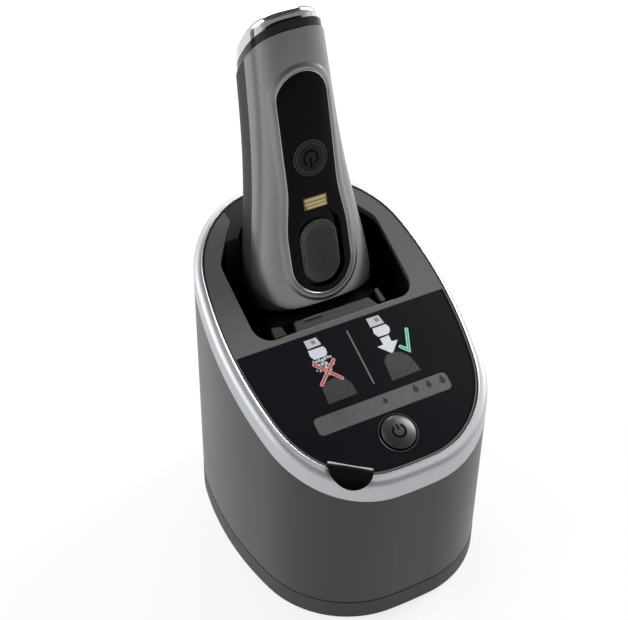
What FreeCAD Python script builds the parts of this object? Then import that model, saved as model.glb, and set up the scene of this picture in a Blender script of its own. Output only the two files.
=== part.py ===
import FreeCAD, Part
import math
import os

# Shaver cleaning station with its shaver docked head down. Millimetres, +Z up, front towards -Y.
# The origin is on the table under the middle of the oval housing.

V = FreeCAD.Vector
AXIS_X = V(1, 0, 0)
AXIS_Y = V(0, 1, 0)
AXIS_Z = V(0, 0, 1)

# ---------------------------------------------------------------- driving dimensions
# plan outline of the housing: eight tangent arcs
half_width = 57.0
half_depth = 70.4
end_flat = 10.8          # corner radius is the half width less this
side_turn = 12.7        # degrees that each side arc turns before the corner arc takes over
end_turn = 2.3          # the same for the front and rear arcs

# heights above the table
front_height = 86.3
rear_height = 148.8
foot_height = 1.6
foot_radius = 6.5
foot_recess = 0.6
floor_thick = 2.4
seam_height = 11.8       # lower edge of the lifting sleeve
seam_gap = 0.5
plinth_lip = 0.1
rim_wall = 2.0          # upstanding lip of the tray that the sleeve drops over
rim_height = 5.0
sleeve_fit = 0.4        # clearance between that lip and the sleeve
wall = 2.5

# trim ring, collar and front panel
ring_height = 9.8
ring_width = 4.2
ring_round = 3.0
groove_width = 0.7      # dark gap between ring and collar
collar_thick = 3.0
collar_drop = 0.2
collar_rim = 0.6        # collar's thin border round the front panel
panel_edge = 31.7        # the panel's straight rear edge, in front of the shaver's neck
panel_drop = 0.5
panel_thick = 2.2
panel_fit = 0.1
film_thick = 0.25
film_margin = 0.6
film_shift_x = -0.7
tab_radius = 9.8
tab_inset = 7.4         # from the housing's outline to the tab's crease
tab_angle = 241.2       # direction in plan, from +X, in which the tab points
tab_lift = 0.1
tab_root = 1.2

# indicator window and clean button, along the slope of the panel
window_length = 65.6
window_width = 8.5
window_front = 31.2     # from the housing's front end in plan
window_corner = 2.2
window_thick = 3.0
button_front = 18.3     # from the housing's front end in plan
cap_radius = 8.0
cap_gap = 0.35
bezel_width = 1.2
cap_travel = 1.2
cap_dome = 1.0
cap_skirt = 4.2
switch_size = 6.0
switch_height = 3.0
board_thick = 1.6
board_depth = 10.0      # below the top plane, along its normal
board_clear = 17.7      # board's rear edge before the well's front wall
board_half_width = 32.0
led_size = 2.4
led_places = (-21.0, 0.9, 16.2, 22.8, 29.4)  # from the window's middle

# well that takes the shaver's head: sides from the housing's sides, lengths from the shaver's neck
well_side = 17.7
well_front = 29.3
well_shoulder = 8.9
well_kink_side = 26.0
well_kink = 20.0
channel_half_width = 25.6
channel_flare = 2.4     # the channel is this much wider on each side at the housing's rear end
well_corner = 8.0
well_wall = 1.6
well_floor_z = 64.0
well_floor_side = 23.0
well_floor_front = 33.8
well_floor_rear = 15.2
ledge_half_width = 18.5
ledge_depth = 4.6
ledge_drop = 5.5
ledge_thick = 2.4
drain_front = 9.8
drain_bore = 6.0
drain_wall = 1.6

# deck, guide columns and lift
deck_z = 52.0
deck_thick = 2.4
lift_travel = 28.0
column_radius = 3.0
column_side = 11.6      # from the housing's side
column_front = 58.5     # front columns, from the housing's front end
column_rear = 2.2       # rear columns, behind the shaver's neck
column_fit = 0.3
bush_wall = 1.6
column_boss_wall = 2.2
column_boss_height = 3.0
bush_drop = 3.2
groove_radius = 2.1
spring_wire = 0.45
spring_radius = 4.1
spring_turns = 6
spring_rest = 0.1       # gap at each end of a coil
boss_turn = 40.0        # direction of the deck bosses round the corner arcs
boss_radius = 4.0
boss_height = 12.0
screw_radius = 1.4
screw_head_radius = 2.8
screw_head_height = 1.8

# latch at the rear
latch_thick = 1.2
latch_gap = 0.3
latch_clear = 1.2       # round a column once the latch is pushed in
latch_travel = 2.5
lift_button_half_width = 12.0
lift_button_height = 8.0
lift_button_z = 60.0
lift_button_proud = 0.8
button_gap = 0.35

# power inlet at the rear
inlet_x = 25.0
inlet_z = 64.0
inlet_radius = 5.5
inlet_depth = 13.0
inlet_cavity = 9.0
inlet_pin_radius = 0.9
inlet_pin_gap = 4.4

# cartridge
tank_side = 17.0
tank_front = 22.5
tank_top_z = 45.0
tank_wall = 1.6
tank_corner = 10.0
tank_clear = 0.3        # between the tank and the tray under it
bay_clear = 1.5
lid_thick = 2.2
filter_radius = 13.0
filter_height = 9.0
filter_base = 2.0
seal_height = 1.1
seal_gap = 0.3
grip_half_width = 16.0
grip_depth = 7.0
intake_x = 27.0
intake_gap = 27.7       # intake's axis before the well's front wall
intake_radius = 4.0
pipe_wall = 1.0
travel_rail_gap = 0.4
rail_width = 1.2
rail_height = 2.8

# pump on the deck
motor_radius = 12.0
motor_length = 34.0
pump_head_radius = 13.5
pump_head_length = 9.0
cradle_thick = 2.0

# contact carrier behind the shaver
carrier_gap = 0.3
carrier_fit = 0.05      # between the carrier and the sleeve that it is screwed to
carrier_depth = 46.0
contact_radius = 1.1
stud_radius = 1.9
stud_fit = 0.1
contact_pitch = 7.0
contact_length = 9.0
contact_s = 10.0        # distance of the contacts from the neck
pin_clear = 0.2         # between the pins and the shaver as it slides past

# docked shaver: place of its neck and lean from the vertical
neck_back = 40.3        # from the housing's rear end
neck_z = 115.6
lean = 14.2
shaver_clear = 0.3      # between the shaver and the carrier that it leans on
section_power = 2.75
head_power = 5.0        # squarer section of the shaving head
handle_stations = (0.0, 22.0, 50.0, 90.0, 125.0, 146.0)
handle_half_widths = (28.4, 27.2, 22.9, 19.1, 17.6, 17.2)
handle_half_depths = (19.2, 18.4, 17.7, 18.0, 17.0, 16.2)
shell_wall = 3.0
seam_depth = -3.0       # local Y of the line between front shell and grip
shell_top = 122.8       # on the front centre line
tail_top = 127.2
cap_top = 135.2
cap_inset = 1.4         # the chrome cap stands in from the ring under it
cap_back = 1.2          # and a little to the rear
cap_round = 2.4         # chrome cap's rounded end
tail_slant = 40.0       # degrees that the tail is cut back from square
tail_inset = 0.6
shell_bottom_corner = 15.0
shell_hip = 30.0        # above it the front shell's outline draws in
shell_top_corner = 7.0

# black inlay on the shaver's front
inlay_thick = 1.2
inlay_top = 105.1
inlay_half_width = 11.8
inlay_flare_top = 56.0
inlay_flare_foot = 30.0
inlay_foot_half_width = 14.5
inlay_bottom = 4.1
power_s = 67.0
power_radius = 8.4
power_travel = 0.6
power_proud = 0.2
small_gap = 0.3
pad_s = 23.7
pad_half_length = 15.3
pad_half_width = 9.4
pad_sink = 0.3
pad_thick = 1.5
pad_travel = 3.0
pad_margin = 1.5
recess_depth = 2.3

# shaver's inside
chassis_y = -8.0
chassis_thick = 1.6
chassis_half_width = 12.5
chassis_bottom = 5.0
chassis_top = 95.0
bulkhead_thick = 2.0
inner_gap = 0.2
battery_radius = 7.0
battery_length = 50.0
battery_bottom = 40.0
drive_half_width = 13.0
drive_depth = 16.0
drive_length = 28.0
drive_bottom = 9.0
shaver_board_gap = 2.6
shaver_board_thick = 1.2
shaver_board_bottom = 20.0
shaver_board_top = 92.0
shaver_board_half_width = 10.0
socket_half_width = 4.0
socket_half_depth = 2.4
socket_depth = 9.0

# shaving head
neck_length = 4.0
neck_half_width = 22.0
neck_half_depth = 13.0
stem_half_width = 10.0
stem_half_depth = 4.5
head_pivot = -9.5
axle_radius = 1.6
axle_fit = 0.05
tilt_gap = 0.8          # left between head and neck at full tilt
head_bottom = -24.0
head_half_width = 28.0
head_half_depth = 14.6
head_tilt = 12.0
cassette_bottom = -31.0
cassette_inset = 0.5
foil_radius = 5.0
foil_thick = 0.4
foil_offset = 6.9
foil_half_length = 20.5
cutter_gap = 0.35
cutter_travel = 1.0
cutter_fins = 14
fin_thick = 0.7
release_radius = 4.6
release_travel = 1.0
release_proud = 0.9
release_s = -15.5

# long hair trimmer on the shaver's back
trimmer_half_width = 8.0
trimmer_bottom = 48.0
trimmer_top = 88.0
trimmer_travel = 9.0
trimmer_floor = 16.4
trimmer_thick = 2.2
tooth_pitch = 1.6

# the tilting head's upper rim just clears the neck at both ends of its tilt
head_rise = -neck_length - tilt_gap - head_pivot - head_half_depth * math.sin(math.radians(head_tilt))
head_top = head_pivot + head_rise / math.cos(math.radians(head_tilt))

# the well, drain and rear columns keep their place to the docked shaver, the panel's parts to the front end
neck_y = half_depth - neck_back
panel_edge_y = neck_y - panel_edge
well_half_width = half_width - well_side
well_front_y = neck_y - well_front
well_shoulder_y = neck_y + well_shoulder
well_kink_x = half_width - well_kink_side
well_kink_y = neck_y + well_kink
well_floor_half_width = half_width - well_floor_side
well_floor_front_y = neck_y - well_floor_front
well_floor_rear_y = neck_y + well_floor_rear
drain_y = neck_y - drain_front
column_x = half_width - column_side
column_ys = (column_front - half_depth, neck_y + column_rear)
window_y = window_front - half_depth
button_y = button_front - half_depth
tank_half_width = half_width - tank_side
tank_front_y = tank_front - half_depth
intake_y = well_front_y - intake_gap

REACH = 400.0           # larger than the whole object, for cutting planes


# ---------------------------------------------------------------- helpers
def box(x0, x1, y0, y1, z0, z1):
    return Part.makeBox(x1 - x0, y1 - y0, z1 - z0, V(x0, y0, z0))


def rod(radius, length, base, direction=AXIS_Z):
    return Part.makeCylinder(radius, length, base, direction)


def tube(outer, inner, length, base, direction=AXIS_Z):
    return rod(outer, length, base, direction).cut(rod(inner, length, base, direction))


def joined(shapes):
    first = shapes[0]
    return first.fuse(list(shapes[1:])).removeSplitter() if len(shapes) > 1 else first


def mirror_x(shape):
    return shape.mirror(V(0, 0, 0), AXIS_X)


def both_sides(shape):
    return [shape, mirror_x(shape)]


def corner_centre():
    """Centre of the corner arc in the positive quadrant, and how far the side and end arcs' centres lie behind it."""
    side = math.radians(side_turn)
    end = math.radians(end_turn)
    straight = half_depth - (half_width - end_flat)
    back = (1 - math.cos(end)) / math.sin(end)
    u = (straight - back * end_flat) / (math.sin(side) - (1 - math.cos(side)) * back)
    v = (end_flat - u * (1 - math.cos(side))) / math.sin(end)
    return V(v * math.sin(end), u * math.sin(side), 0)


def oval(inset=0.0, z=0.0):
    """Plan outline of the housing, moved inwards by inset."""
    side = math.radians(side_turn)
    end = math.radians(end_turn)
    centre = corner_centre()
    radius = half_width - end_flat - inset
    middle = (side + math.pi / 2 - end) / 2

    def on_corner(angle, sx, sy):
        return V(sx * (centre.x + radius * math.cos(angle)), sy * (centre.y + radius * math.sin(angle)), z)

    first, last = side, math.pi / 2 - end
    edges = []
    for sx, sy in ((1, 1), (-1, 1), (-1, -1), (1, -1)):
        edges.append(Part.Arc(on_corner(first, sx, sy), on_corner(middle, sx, sy), on_corner(last, sx, sy)))
    for sx in (1, -1):
        edges.append(Part.Arc(on_corner(first, sx, -1), V(sx * (half_width - inset), 0, z), on_corner(first, sx, 1)))
    for sy in (1, -1):
        edges.append(Part.Arc(on_corner(last, -1, sy), V(0, sy * (half_depth - inset), z), on_corner(last, 1, sy)))
    return Part.Wire(Part.__sortEdges__([edge.toShape() for edge in edges]))


def prism(inset, z0, z1):
    return Part.Face(oval(inset, z0)).extrude(V(0, 0, z1 - z0))


slope = math.atan2(rear_height - front_height, 2 * half_depth)
mid_height = (rear_height + front_height) / 2
TALL = rear_height + 60.0


def top_z(y, drop=0.0):
    return mid_height + y * math.tan(slope) - drop


def slab(drop_top, drop_bottom):
    """Everything between two planes parallel to the sloping top, at these heights below it."""
    corners = [V(-REACH, -REACH, top_z(-REACH, drop_top)), V(-REACH, REACH, top_z(REACH, drop_top)),
               V(-REACH, REACH, top_z(REACH, drop_bottom)), V(-REACH, -REACH, top_z(-REACH, drop_bottom))]
    return Part.Face(Part.makePolygon(corners + corners[:1])).extrude(V(2 * REACH, 0, 0))


def on_top(shape):
    """Places a shape drawn on the sloping top: X across, Y up the slope, Z along its normal."""
    placed = shape.copy()
    tilted = FreeCAD.Placement(V(0, 0, mid_height), FreeCAD.Rotation(AXIS_X, math.degrees(slope)))
    placed.Placement = tilted.multiply(shape.Placement)
    return placed


def up_slope(y):
    return y / math.cos(slope)


def rounded_outline(corners, radii, z=0.0):
    """Closed wire through straight runs joined by arcs: one corner point and one radius each."""
    count = len(corners)
    edges = []
    starts = []
    ends = []
    for i, (corner, radius) in enumerate(zip(corners, radii)):
        here = V(corner[0], corner[1], z)
        before = V(*corners[i - 1], z) - here
        after = V(*corners[(i + 1) % count], z) - here
        half = before.getAngle(after) / 2
        reach = radius / math.tan(half)
        a = here + before.normalize() * reach
        b = here + after.normalize() * reach
        bisector = (before + after).normalize()
        middle = here + bisector * (radius / math.sin(half) - radius)
        starts.append(a)
        ends.append(b)
        edges.append(Part.Arc(a, middle, b).toShape())
    for i in range(count):
        run = Part.LineSegment(ends[i - 1], starts[i])
        edges.append(run.toShape())
    return Part.Wire(Part.__sortEdges__(edges))


def plate(wire, depth):
    return Part.Face(wire).extrude(depth)


def round_bar(length, width, corner, z0, z1, y=0.0):
    corners = [(-length / 2, y - width / 2), (length / 2, y - width / 2),
               (length / 2, y + width / 2), (-length / 2, y + width / 2)]
    return plate(rounded_outline(corners, [corner] * 4, z0), V(0, 0, z1 - z0))


# ---------------------------------------------------------------- shaver frame
def docked(shape):
    """Places a shape drawn in the shaver's own frame: Z from the neck to the tail, -Y the front."""
    placed = shape.copy()
    leaning = FreeCAD.Placement(V(0, neck_y, neck_z), FreeCAD.Rotation(AXIS_X, -lean))
    placed.Placement = leaning.multiply(shape.Placement)
    return placed


def section(half_w, half_d, s, power=section_power):
    """Closed curve of a superellipse, x and y powers of cosine and sine."""
    points = []
    steps = 20
    for i in range(steps):
        angle = 2 * math.pi * i / steps
        c, d = math.cos(angle), math.sin(angle)
        points.append(V(half_w * math.copysign(abs(c) ** (2 / power), c),
                        half_d * math.copysign(abs(d) ** (2 / power), d), s))
    curve = Part.BSplineCurve()
    curve.interpolate(points, PeriodicFlag=True)
    return Part.Wire(curve.toShape())


def handle(inset):
    """Handle's outer form, moved inwards by inset."""
    wires = [section(w - inset, d - inset, s)
             for s, w, d in zip(handle_stations, handle_half_widths, handle_half_depths)]
    return Part.makeLoft(wires, True, False)


def tail_cut(s_front):
    """Everything on the head side of the slanting tail plane that crosses the front centre line at s_front."""
    front = -handle_half_depths[-2]
    drop = math.tan(math.radians(tail_slant))
    corners = [V(-REACH, front - REACH, s_front + REACH * drop), V(-REACH, front + REACH, s_front - REACH * drop),
               V(-REACH, front + REACH, -2 * REACH), V(-REACH, front - REACH, -2 * REACH)]
    return Part.Face(Part.makePolygon(corners + corners[:1])).extrude(V(2 * REACH, 0, 0))


def facing_front(wire_xz, y0, y1):
    """Prism through the handle's front from an outline drawn as x, s."""
    turned = wire_xz.copy()
    turned.Placement = FreeCAD.Placement(V(0, 0, 0), FreeCAD.Rotation(AXIS_X, 90))
    return Part.Face(turned).extrude(V(0, 1, 0) * (y1 - y0)).translated(V(0, y0, 0))


def stadium(half_w, low, high):
    corners = [(-half_w, low), (half_w, low), (half_w, high), (-half_w, high)]
    return rounded_outline(corners, [half_w * 0.999] * 4)


def inlay_outline(grow=0.0):
    """Long shape with a round top, a waist and a wider oval foot."""
    w, f = inlay_half_width + grow, inlay_foot_half_width + grow
    top, low = inlay_top + grow - w, inlay_bottom - grow + f
    ease = (inlay_flare_top - inlay_flare_foot) / 2
    edges = [Part.Arc(V(w, top, 0), V(0, top + w, 0), V(-w, top, 0)).toShape(),
             Part.Arc(V(-f, low, 0), V(0, low - f, 0), V(f, low, 0)).toShape()]
    for side in (1, -1):
        flare = Part.BezierCurve()
        flare.setPoles([V(side * w, inlay_flare_top, 0), V(side * w, inlay_flare_top - ease, 0),
                        V(side * f, inlay_flare_foot + ease, 0), V(side * f, inlay_flare_foot, 0)])
        edges += [Part.LineSegment(V(side * w, top, 0), V(side * w, inlay_flare_top, 0)).toShape(),
                  flare.toShape(),
                  Part.LineSegment(V(side * f, inlay_flare_foot, 0), V(side * f, low, 0)).toShape()]
    return Part.Wire(Part.__sortEdges__(edges))


parts = {}


# ---------------------------------------------------------------- base
tray_bottom = foot_height
floor_top = tray_bottom + floor_thick
tray_top = seam_height - seam_gap
bay_half_width = tank_half_width + bay_clear
tank_bottom = floor_top + tank_clear
column_places = [V(sx * column_x, y, 0) for y in column_ys for sx in (1, -1)]
column_top = deck_z + deck_thick + lift_travel + 3.0
foot_places = [V(sx * (half_width - 20), sy * (half_depth - 24), 0) for sx in (1, -1) for sy in (1, -1)]
lip_inset = wall + sleeve_fit


def base_tray():
    solid = prism(-plinth_lip, tray_bottom, tray_top)
    hollow = prism(lip_inset + rim_wall, floor_top, tray_top)
    lip = prism(lip_inset, floor_top, tray_top + rim_height)
    lip = lip.cut(prism(lip_inset + rim_wall, floor_top, tray_top + rim_height))
    tray = solid.cut(hollow).fuse(lip)
    tray = tray.cut(box(-bay_half_width, bay_half_width, 0, REACH, floor_top, tray_top + rim_height))
    rails = []
    rail_x = tank_half_width + travel_rail_gap
    for side in (1, -1):
        rail = box(rail_x, rail_x + rail_width, tank_front_y + tank_corner, column_ys[1] - 2 * spring_radius,
                   floor_top, floor_top + rail_height)
        rails.append(rail if side > 0 else mirror_x(rail))
    bosses = [rod(column_radius + column_boss_wall, column_boss_height, place + V(0, 0, floor_top))
              for place in column_places]
    stop = box(-12, 12, tank_front_y - 3.0, tank_front_y - tank_clear, floor_top, floor_top + rail_height)
    tray = joined([tray, stop] + rails + bosses)
    for place in column_places:
        tray = tray.cut(rod(column_radius, column_boss_height + 1, place + V(0, 0, floor_top)))
        tray = tray.cut(rod(screw_radius, floor_thick + 1, place + V(0, 0, tray_bottom)))
        tray = tray.cut(rod(screw_head_radius + 0.2, screw_head_height, place + V(0, 0, tray_bottom)))
    for place in foot_places:
        tray = tray.cut(rod(foot_radius, foot_recess, place + V(0, 0, tray_bottom)))
    return tray


def rubber_feet():
    return Part.makeCompound([rod(foot_radius, foot_height + foot_recess, place) for place in foot_places])


def guide_columns():
    columns = []
    groove_z = deck_z + deck_thick
    for place in column_places:
        column = rod(column_radius, column_top - floor_top, place + V(0, 0, floor_top))
        column = column.makeChamfer(0.8, [edge for edge in column.Edges if edge.BoundBox.ZMin > column_top - 0.01])
        groove = tube(column_radius + 1, groove_radius, latch_thick + 2 * latch_gap, place + V(0, 0, groove_z))
        column = column.cut(groove)
        columns.append(column.cut(rod(screw_radius, 9.0, place + V(0, 0, floor_top))))
    return Part.makeCompound(columns)


def screw(place, length):
    """Screw that points up, with the underside of its head at place."""
    head = rod(screw_head_radius, screw_head_height, place - V(0, 0, screw_head_height))
    head = head.cut(box(-0.4, 0.4, -2, 2, 0, 0.8).translated(place - V(0, 0, screw_head_height)))
    return head.fuse(rod(screw_radius, length, place))


def column_screws():
    seat = tray_bottom + screw_head_height
    return Part.makeCompound([screw(place + V(0, 0, seat), 8.0) for place in column_places])


def lift_springs():
    """Coils round the front columns, between their tray bosses and the deck's bushes."""
    low = floor_top + column_boss_height + spring_wire + spring_rest
    high = deck_z - bush_drop - spring_wire - spring_rest
    coils = []
    for place in column_places[:2]:
        path = Part.makeHelix((high - low) / spring_turns, high - low, spring_radius)
        path.translate(place + V(0, 0, low))
        start = path.Edges[0].valueAt(path.Edges[0].FirstParameter)
        wire_face = [start + V(dx, 0, dz) for dx, dz in ((-spring_wire, 0), (0, -spring_wire),
                                                         (spring_wire, 0), (0, spring_wire))]
        ring = Part.makePolygon(wire_face + wire_face[:1])
        coils.append(Part.Wire(path.Edges).makePipeShell([ring], True, True))
    return Part.makeCompound(coils)


parts["base_tray"] = base_tray()
parts["rubber_feet"] = rubber_feet()
parts["guide_columns"] = guide_columns()
parts["column_screws"] = column_screws()
parts["lift_springs"] = lift_springs()


# ---------------------------------------------------------------- cartridge
tank_rear_inset = 0.6
lid_top = tank_top_z + lid_thick


def tank_block(inset, z0, z1):
    """Long block with round front corners whose rear follows the housing's outline."""
    w, r = tank_half_width - inset, tank_corner - inset
    front = tank_front_y + inset
    corners = [(-w, front), (w, front), (w, half_depth + 20), (-w, half_depth + 20)]
    outline = rounded_outline(corners, [r, r, 1.0, 1.0], z0)
    return plate(outline, V(0, 0, z1 - z0)).common(prism(tank_rear_inset + inset, z0, z1))


def cartridge_tank():
    tank = tank_block(0, tank_bottom, tank_top_z)
    tank = tank.cut(tank_block(tank_wall, tank_bottom + tank_wall, tank_top_z))
    divider = tank_block(tank_wall, tank_bottom + tank_wall, tank_top_z - 12.0)
    tank = tank.fuse(divider.common(box(-REACH, REACH, -8.0, -8.0 + tank_wall, 0, REACH)))
    grip_z = (tank_bottom + tank_top_z) / 2
    grip_box = box(-grip_half_width, grip_half_width, half_depth - grip_depth, half_depth + 5, grip_z - 8, grip_z + 8)
    pocket = box(-grip_half_width - tank_wall, grip_half_width + tank_wall, half_depth - grip_depth - tank_wall,
                 half_depth - tank_wall, grip_z - 8 - tank_wall, grip_z + 8 + tank_wall)
    tank = tank.fuse(pocket.common(tank_block(0, tank_bottom, tank_top_z))).cut(grip_box)
    return tank.removeSplitter()


def cartridge_lid():
    lid = tank_block(0, tank_top_z, lid_top)
    skirt = tank_block(tank_wall + 0.2, tank_top_z - 2.0, tank_top_z)
    skirt = skirt.cut(tank_block(2 * tank_wall + 0.2, tank_top_z - 2.0, tank_top_z))
    lid = lid.fuse(skirt.cut(box(-REACH, REACH, -9.0, -5.0, 0, REACH)))
    lid = lid.cut(rod(drain_bore, 10, V(0, drain_y, tank_top_z - 3)))
    lid = lid.cut(rod(intake_radius, 10, V(intake_x, intake_y, tank_top_z - 3)))
    for i in range(4):
        y = 40.0 + 5.0 * i
        lid = lid.cut(box(-14, 14, y, y + 1.6, lid_top - 0.8, lid_top + 1))
    return lid


def cartridge_filter():
    top = tank_top_z - 0.2
    ring = tube(filter_radius, drain_bore - 1, filter_height, V(0, drain_y, top - filter_height))
    return ring.fuse(rod(filter_radius, filter_base, V(0, drain_y, top - filter_height - filter_base)))


def intake_tube():
    low = tank_bottom + tank_wall + 1.5
    top = tube(intake_radius, intake_radius - pipe_wall, lid_top - low, V(intake_x, intake_y, low))
    flange = tube(intake_radius + 2.0, intake_radius - pipe_wall, 1.2, V(intake_x, intake_y, tank_top_z - 1.2))
    return top.fuse(flange)


def port_seals():
    drain = tube(drain_bore + 3, drain_bore, seal_height, V(0, drain_y, lid_top))
    intake = tube(intake_radius + 2.5, intake_radius, seal_height, V(intake_x, intake_y, lid_top))
    return Part.makeCompound([drain, intake])


parts["cartridge_tank"] = cartridge_tank()
parts["cartridge_lid"] = cartridge_lid()
parts["cartridge_filter"] = cartridge_filter()
parts["intake_tube"] = intake_tube()
parts["port_seals"] = port_seals()


# ---------------------------------------------------------------- housing shell
collar_inset = ring_width + groove_width
panel_inset = collar_inset + collar_rim
deck_top = deck_z + deck_thick
deck_low = deck_z
port_z = lid_top + seal_height + seal_gap       # underside of the housing's face seals
corner = corner_centre()
boss_places = []
for sx in (1, -1):
    for sy in (1, -1):
        reach = half_width - end_flat - wall - boss_radius + 0.6
        turn = math.radians(boss_turn)
        boss_places.append(V(sx * (corner.x + reach * math.cos(turn)), sy * (corner.y + reach * math.sin(turn)), 0))
rear_bay_top = lid_top + seal_height + bay_clear
lift_button_top = lift_button_z + lift_button_height


def lift_path():
    """Space that the shaver sweeps while it is drawn out along its own axis."""
    widest = max(handle_half_widths) + shaver_clear
    deepest = max(handle_half_depths) + shaver_clear
    wire = section(widest, deepest, -6.0)
    return docked(Part.Face(wire).extrude(V(0, 0, REACH)))


LIFT_PATH = lift_path()


def outer_sleeve():
    sleeve = prism(0, seam_height, TALL).cut(prism(wall, seam_height, TALL))
    sleeve = sleeve.common(slab(ring_height, REACH))
    for place in boss_places:
        boss = rod(boss_radius, boss_height, place + V(0, 0, deck_top)).common(prism(wall / 2, 0, TALL))
        sleeve = sleeve.fuse(boss)
    for place in boss_places:
        sleeve = sleeve.cut(rod(screw_radius, boss_height - 2, place + V(0, 0, deck_top)))
    sleeve = sleeve.cut(box(-bay_half_width, bay_half_width, 0, REACH, 0, rear_bay_top))
    window = round_bar(2 * lift_button_half_width + 2 * button_gap, lift_button_height + 2 * button_gap, 3.0, 0, REACH)
    window.Placement = FreeCAD.Placement(V(0, REACH, lift_button_z + lift_button_height / 2),
                                         FreeCAD.Rotation(AXIS_X, 90))
    sleeve = sleeve.cut(window)
    return sleeve.cut(rod(inlet_radius, REACH, V(inlet_x, 0, inlet_z), AXIS_Y))


def trim_ring():
    """Bright band round the sloping rim: rounded outside, square inside."""
    ring = prism(0, 0, TALL).common(slab(0, ring_height))
    crest = []
    for edge in ring.Edges:
        middle = edge.valueAt((edge.FirstParameter + edge.LastParameter) / 2)
        if abs(middle.z - top_z(middle.y)) < 0.01:
            crest.append(edge)
    ring = ring.makeFillet(ring_round, crest).cut(prism(ring_width, 0, TALL))
    half = ring.common(box(-REACH, 0, -REACH, REACH, 0, REACH)).Solids[0]
    return half.fuse(mirror_x(half))


def well_outline(inset, z):
    """Opening of the well: wide at the shaver's head, with a narrow channel behind it."""
    w, k = well_half_width - inset, well_kink_x - inset
    c = channel_half_width - inset
    front = well_front_y + inset
    flared = c + channel_flare * (half_depth + 20 - well_kink_y) / (half_depth - well_kink_y)
    half = [(w, front), (w, well_shoulder_y), (k, well_kink_y), (c, well_kink_y + 6), (flared, half_depth + 20)]
    corners = half + [(-x, y) for x, y in reversed(half)]
    radii = [well_corner, 9.0, 4.0, 2.0, 1.0]
    return rounded_outline(corners, radii + radii[::-1], z)


def collar():
    frame = prism(collar_inset, 0, TALL).common(slab(collar_drop, collar_thick))
    border = prism(panel_inset, 0, TALL).common(box(-REACH, REACH, -REACH, panel_edge_y, 0, TALL))
    frame = frame.cut(border)
    opening = plate(well_outline(0, 0), V(0, 0, TALL))
    return frame.cut(opening)


def window_block(grow, z0, z1):
    """Rounded bar of the indicator window in its place on the sloping top."""
    bar = round_bar(window_length + 2 * grow, window_width + 2 * grow, window_corner, z0, z1, up_slope(window_y))
    return on_top(bar)


def on_button(shape):
    """Places a shape drawn round the clean button's axis, with Z = 0 on the sloping top."""
    return on_top(shape.translated(V(0, up_slope(button_y), 0)))


def front_panel():
    span = prism(panel_inset + panel_fit, 0, TALL)
    span = span.common(box(-REACH, REACH, -REACH, panel_edge_y - panel_fit, 0, TALL))
    sheet = span.common(slab(panel_drop, panel_drop + panel_thick))
    posts = []
    normal_drop = (panel_drop + panel_thick) * math.cos(slope)
    for x, v in post_places():
        posts.append(on_top(rod(2.2, board_depth - normal_drop, V(x, v, -board_depth))))
    window = window_block(0, -REACH / 4, REACH / 4)
    button = on_button(rod(cap_radius + cap_gap + bezel_width, REACH, V(0, 0, -REACH / 2)))
    return joined([sheet.cut(window).cut(button)] + posts)


def post_places():
    near, far = up_slope(button_y) + 2.0, up_slope(window_y) + 14.0
    return [(sx * 23.0, v) for sx in (1, -1) for v in (near, far)]


def protective_film():
    """Thin printed film on the panel, open over the window and the button."""
    span = prism(panel_inset + film_margin, 0, TALL).translated(V(film_shift_x, 0, 0))
    span = span.common(prism(panel_inset + panel_fit, 0, TALL))
    span = span.common(box(-REACH, REACH, -REACH, panel_edge_y - panel_fit, 0, TALL))
    sheet = span.common(slab(panel_drop - film_thick, panel_drop))
    window = window_block(0, -REACH / 4, REACH / 4)
    button = on_button(rod(cap_radius + cap_gap + bezel_width + panel_fit, REACH, V(0, 0, -REACH / 2)))
    return sheet.cut(window).cut(button)


def pull_tab():
    """Half-round tab stuck to the film along its straight edge, with the rest lying over the ring."""
    away = V(math.cos(math.radians(tab_angle)), math.sin(math.radians(tab_angle)), 0)
    hit = away * (half_width - end_flat - tab_inset) - corner_centre()
    turned = FreeCAD.Placement(hit, FreeCAD.Rotation(AXIS_Z, tab_angle - 90))
    beyond = box(-tab_radius, tab_radius, 0, tab_radius, 0, TALL)
    root = box(-tab_radius + tab_root, tab_radius - tab_root, 0, tab_root, 0, TALL)
    for shape in (beyond, root):
        shape.Placement = turned
    flap = rod(tab_radius, TALL, hit).common(beyond).common(slab(-tab_lift - film_thick, -tab_lift))
    return flap.fuse(root.common(slab(-tab_lift, panel_drop - film_thick)))


def indicator_window():
    top = -panel_drop * math.cos(slope)
    return window_block(-panel_fit, top - window_thick, top + film_thick)


def button_bezel():
    """Ring that frames the clean button and guides its skirt down to the board."""
    outer = cap_radius + cap_gap + bezel_width
    inner = cap_radius + cap_gap
    return on_button(tube(outer - panel_fit, inner, board_depth, V(0, 0, -board_depth)))


def clean_button():
    """Domed cap, turned from a half profile, with a skirt and a short stem."""
    r = cap_radius
    edge = 0.3
    low = -cap_skirt
    profile = [V(0, 0, cap_dome + edge), V(r * 0.55, 0, edge + cap_dome * 0.82), V(r, 0, edge - 0.4)]
    dome = Part.Arc(*profile).toShape()
    runs = Part.makePolygon([V(r, 0, edge - 0.4), V(r, 0, low), V(r - 1.4, 0, low), V(r - 1.4, 0, -1.6),
                             V(2.0, 0, -1.6), V(2.0, 0, low), V(0, 0, low), V(0, 0, cap_dome + edge)])
    face = Part.Face(Part.Wire(Part.__sortEdges__([dome] + runs.Edges)))
    cap = face.revolve(V(0, 0, 0), AXIS_Z, 360)
    return on_button(cap)


def circuit_board():
    rear = well_front_y - board_clear
    span = prism(wall + 3.0, 0, TALL).common(box(-board_half_width, board_half_width, -REACH, rear, 0, TALL))
    layer = on_top(box(-REACH, REACH, -REACH, REACH, -board_depth - board_thick, -board_depth))
    return span.common(layer)


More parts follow.
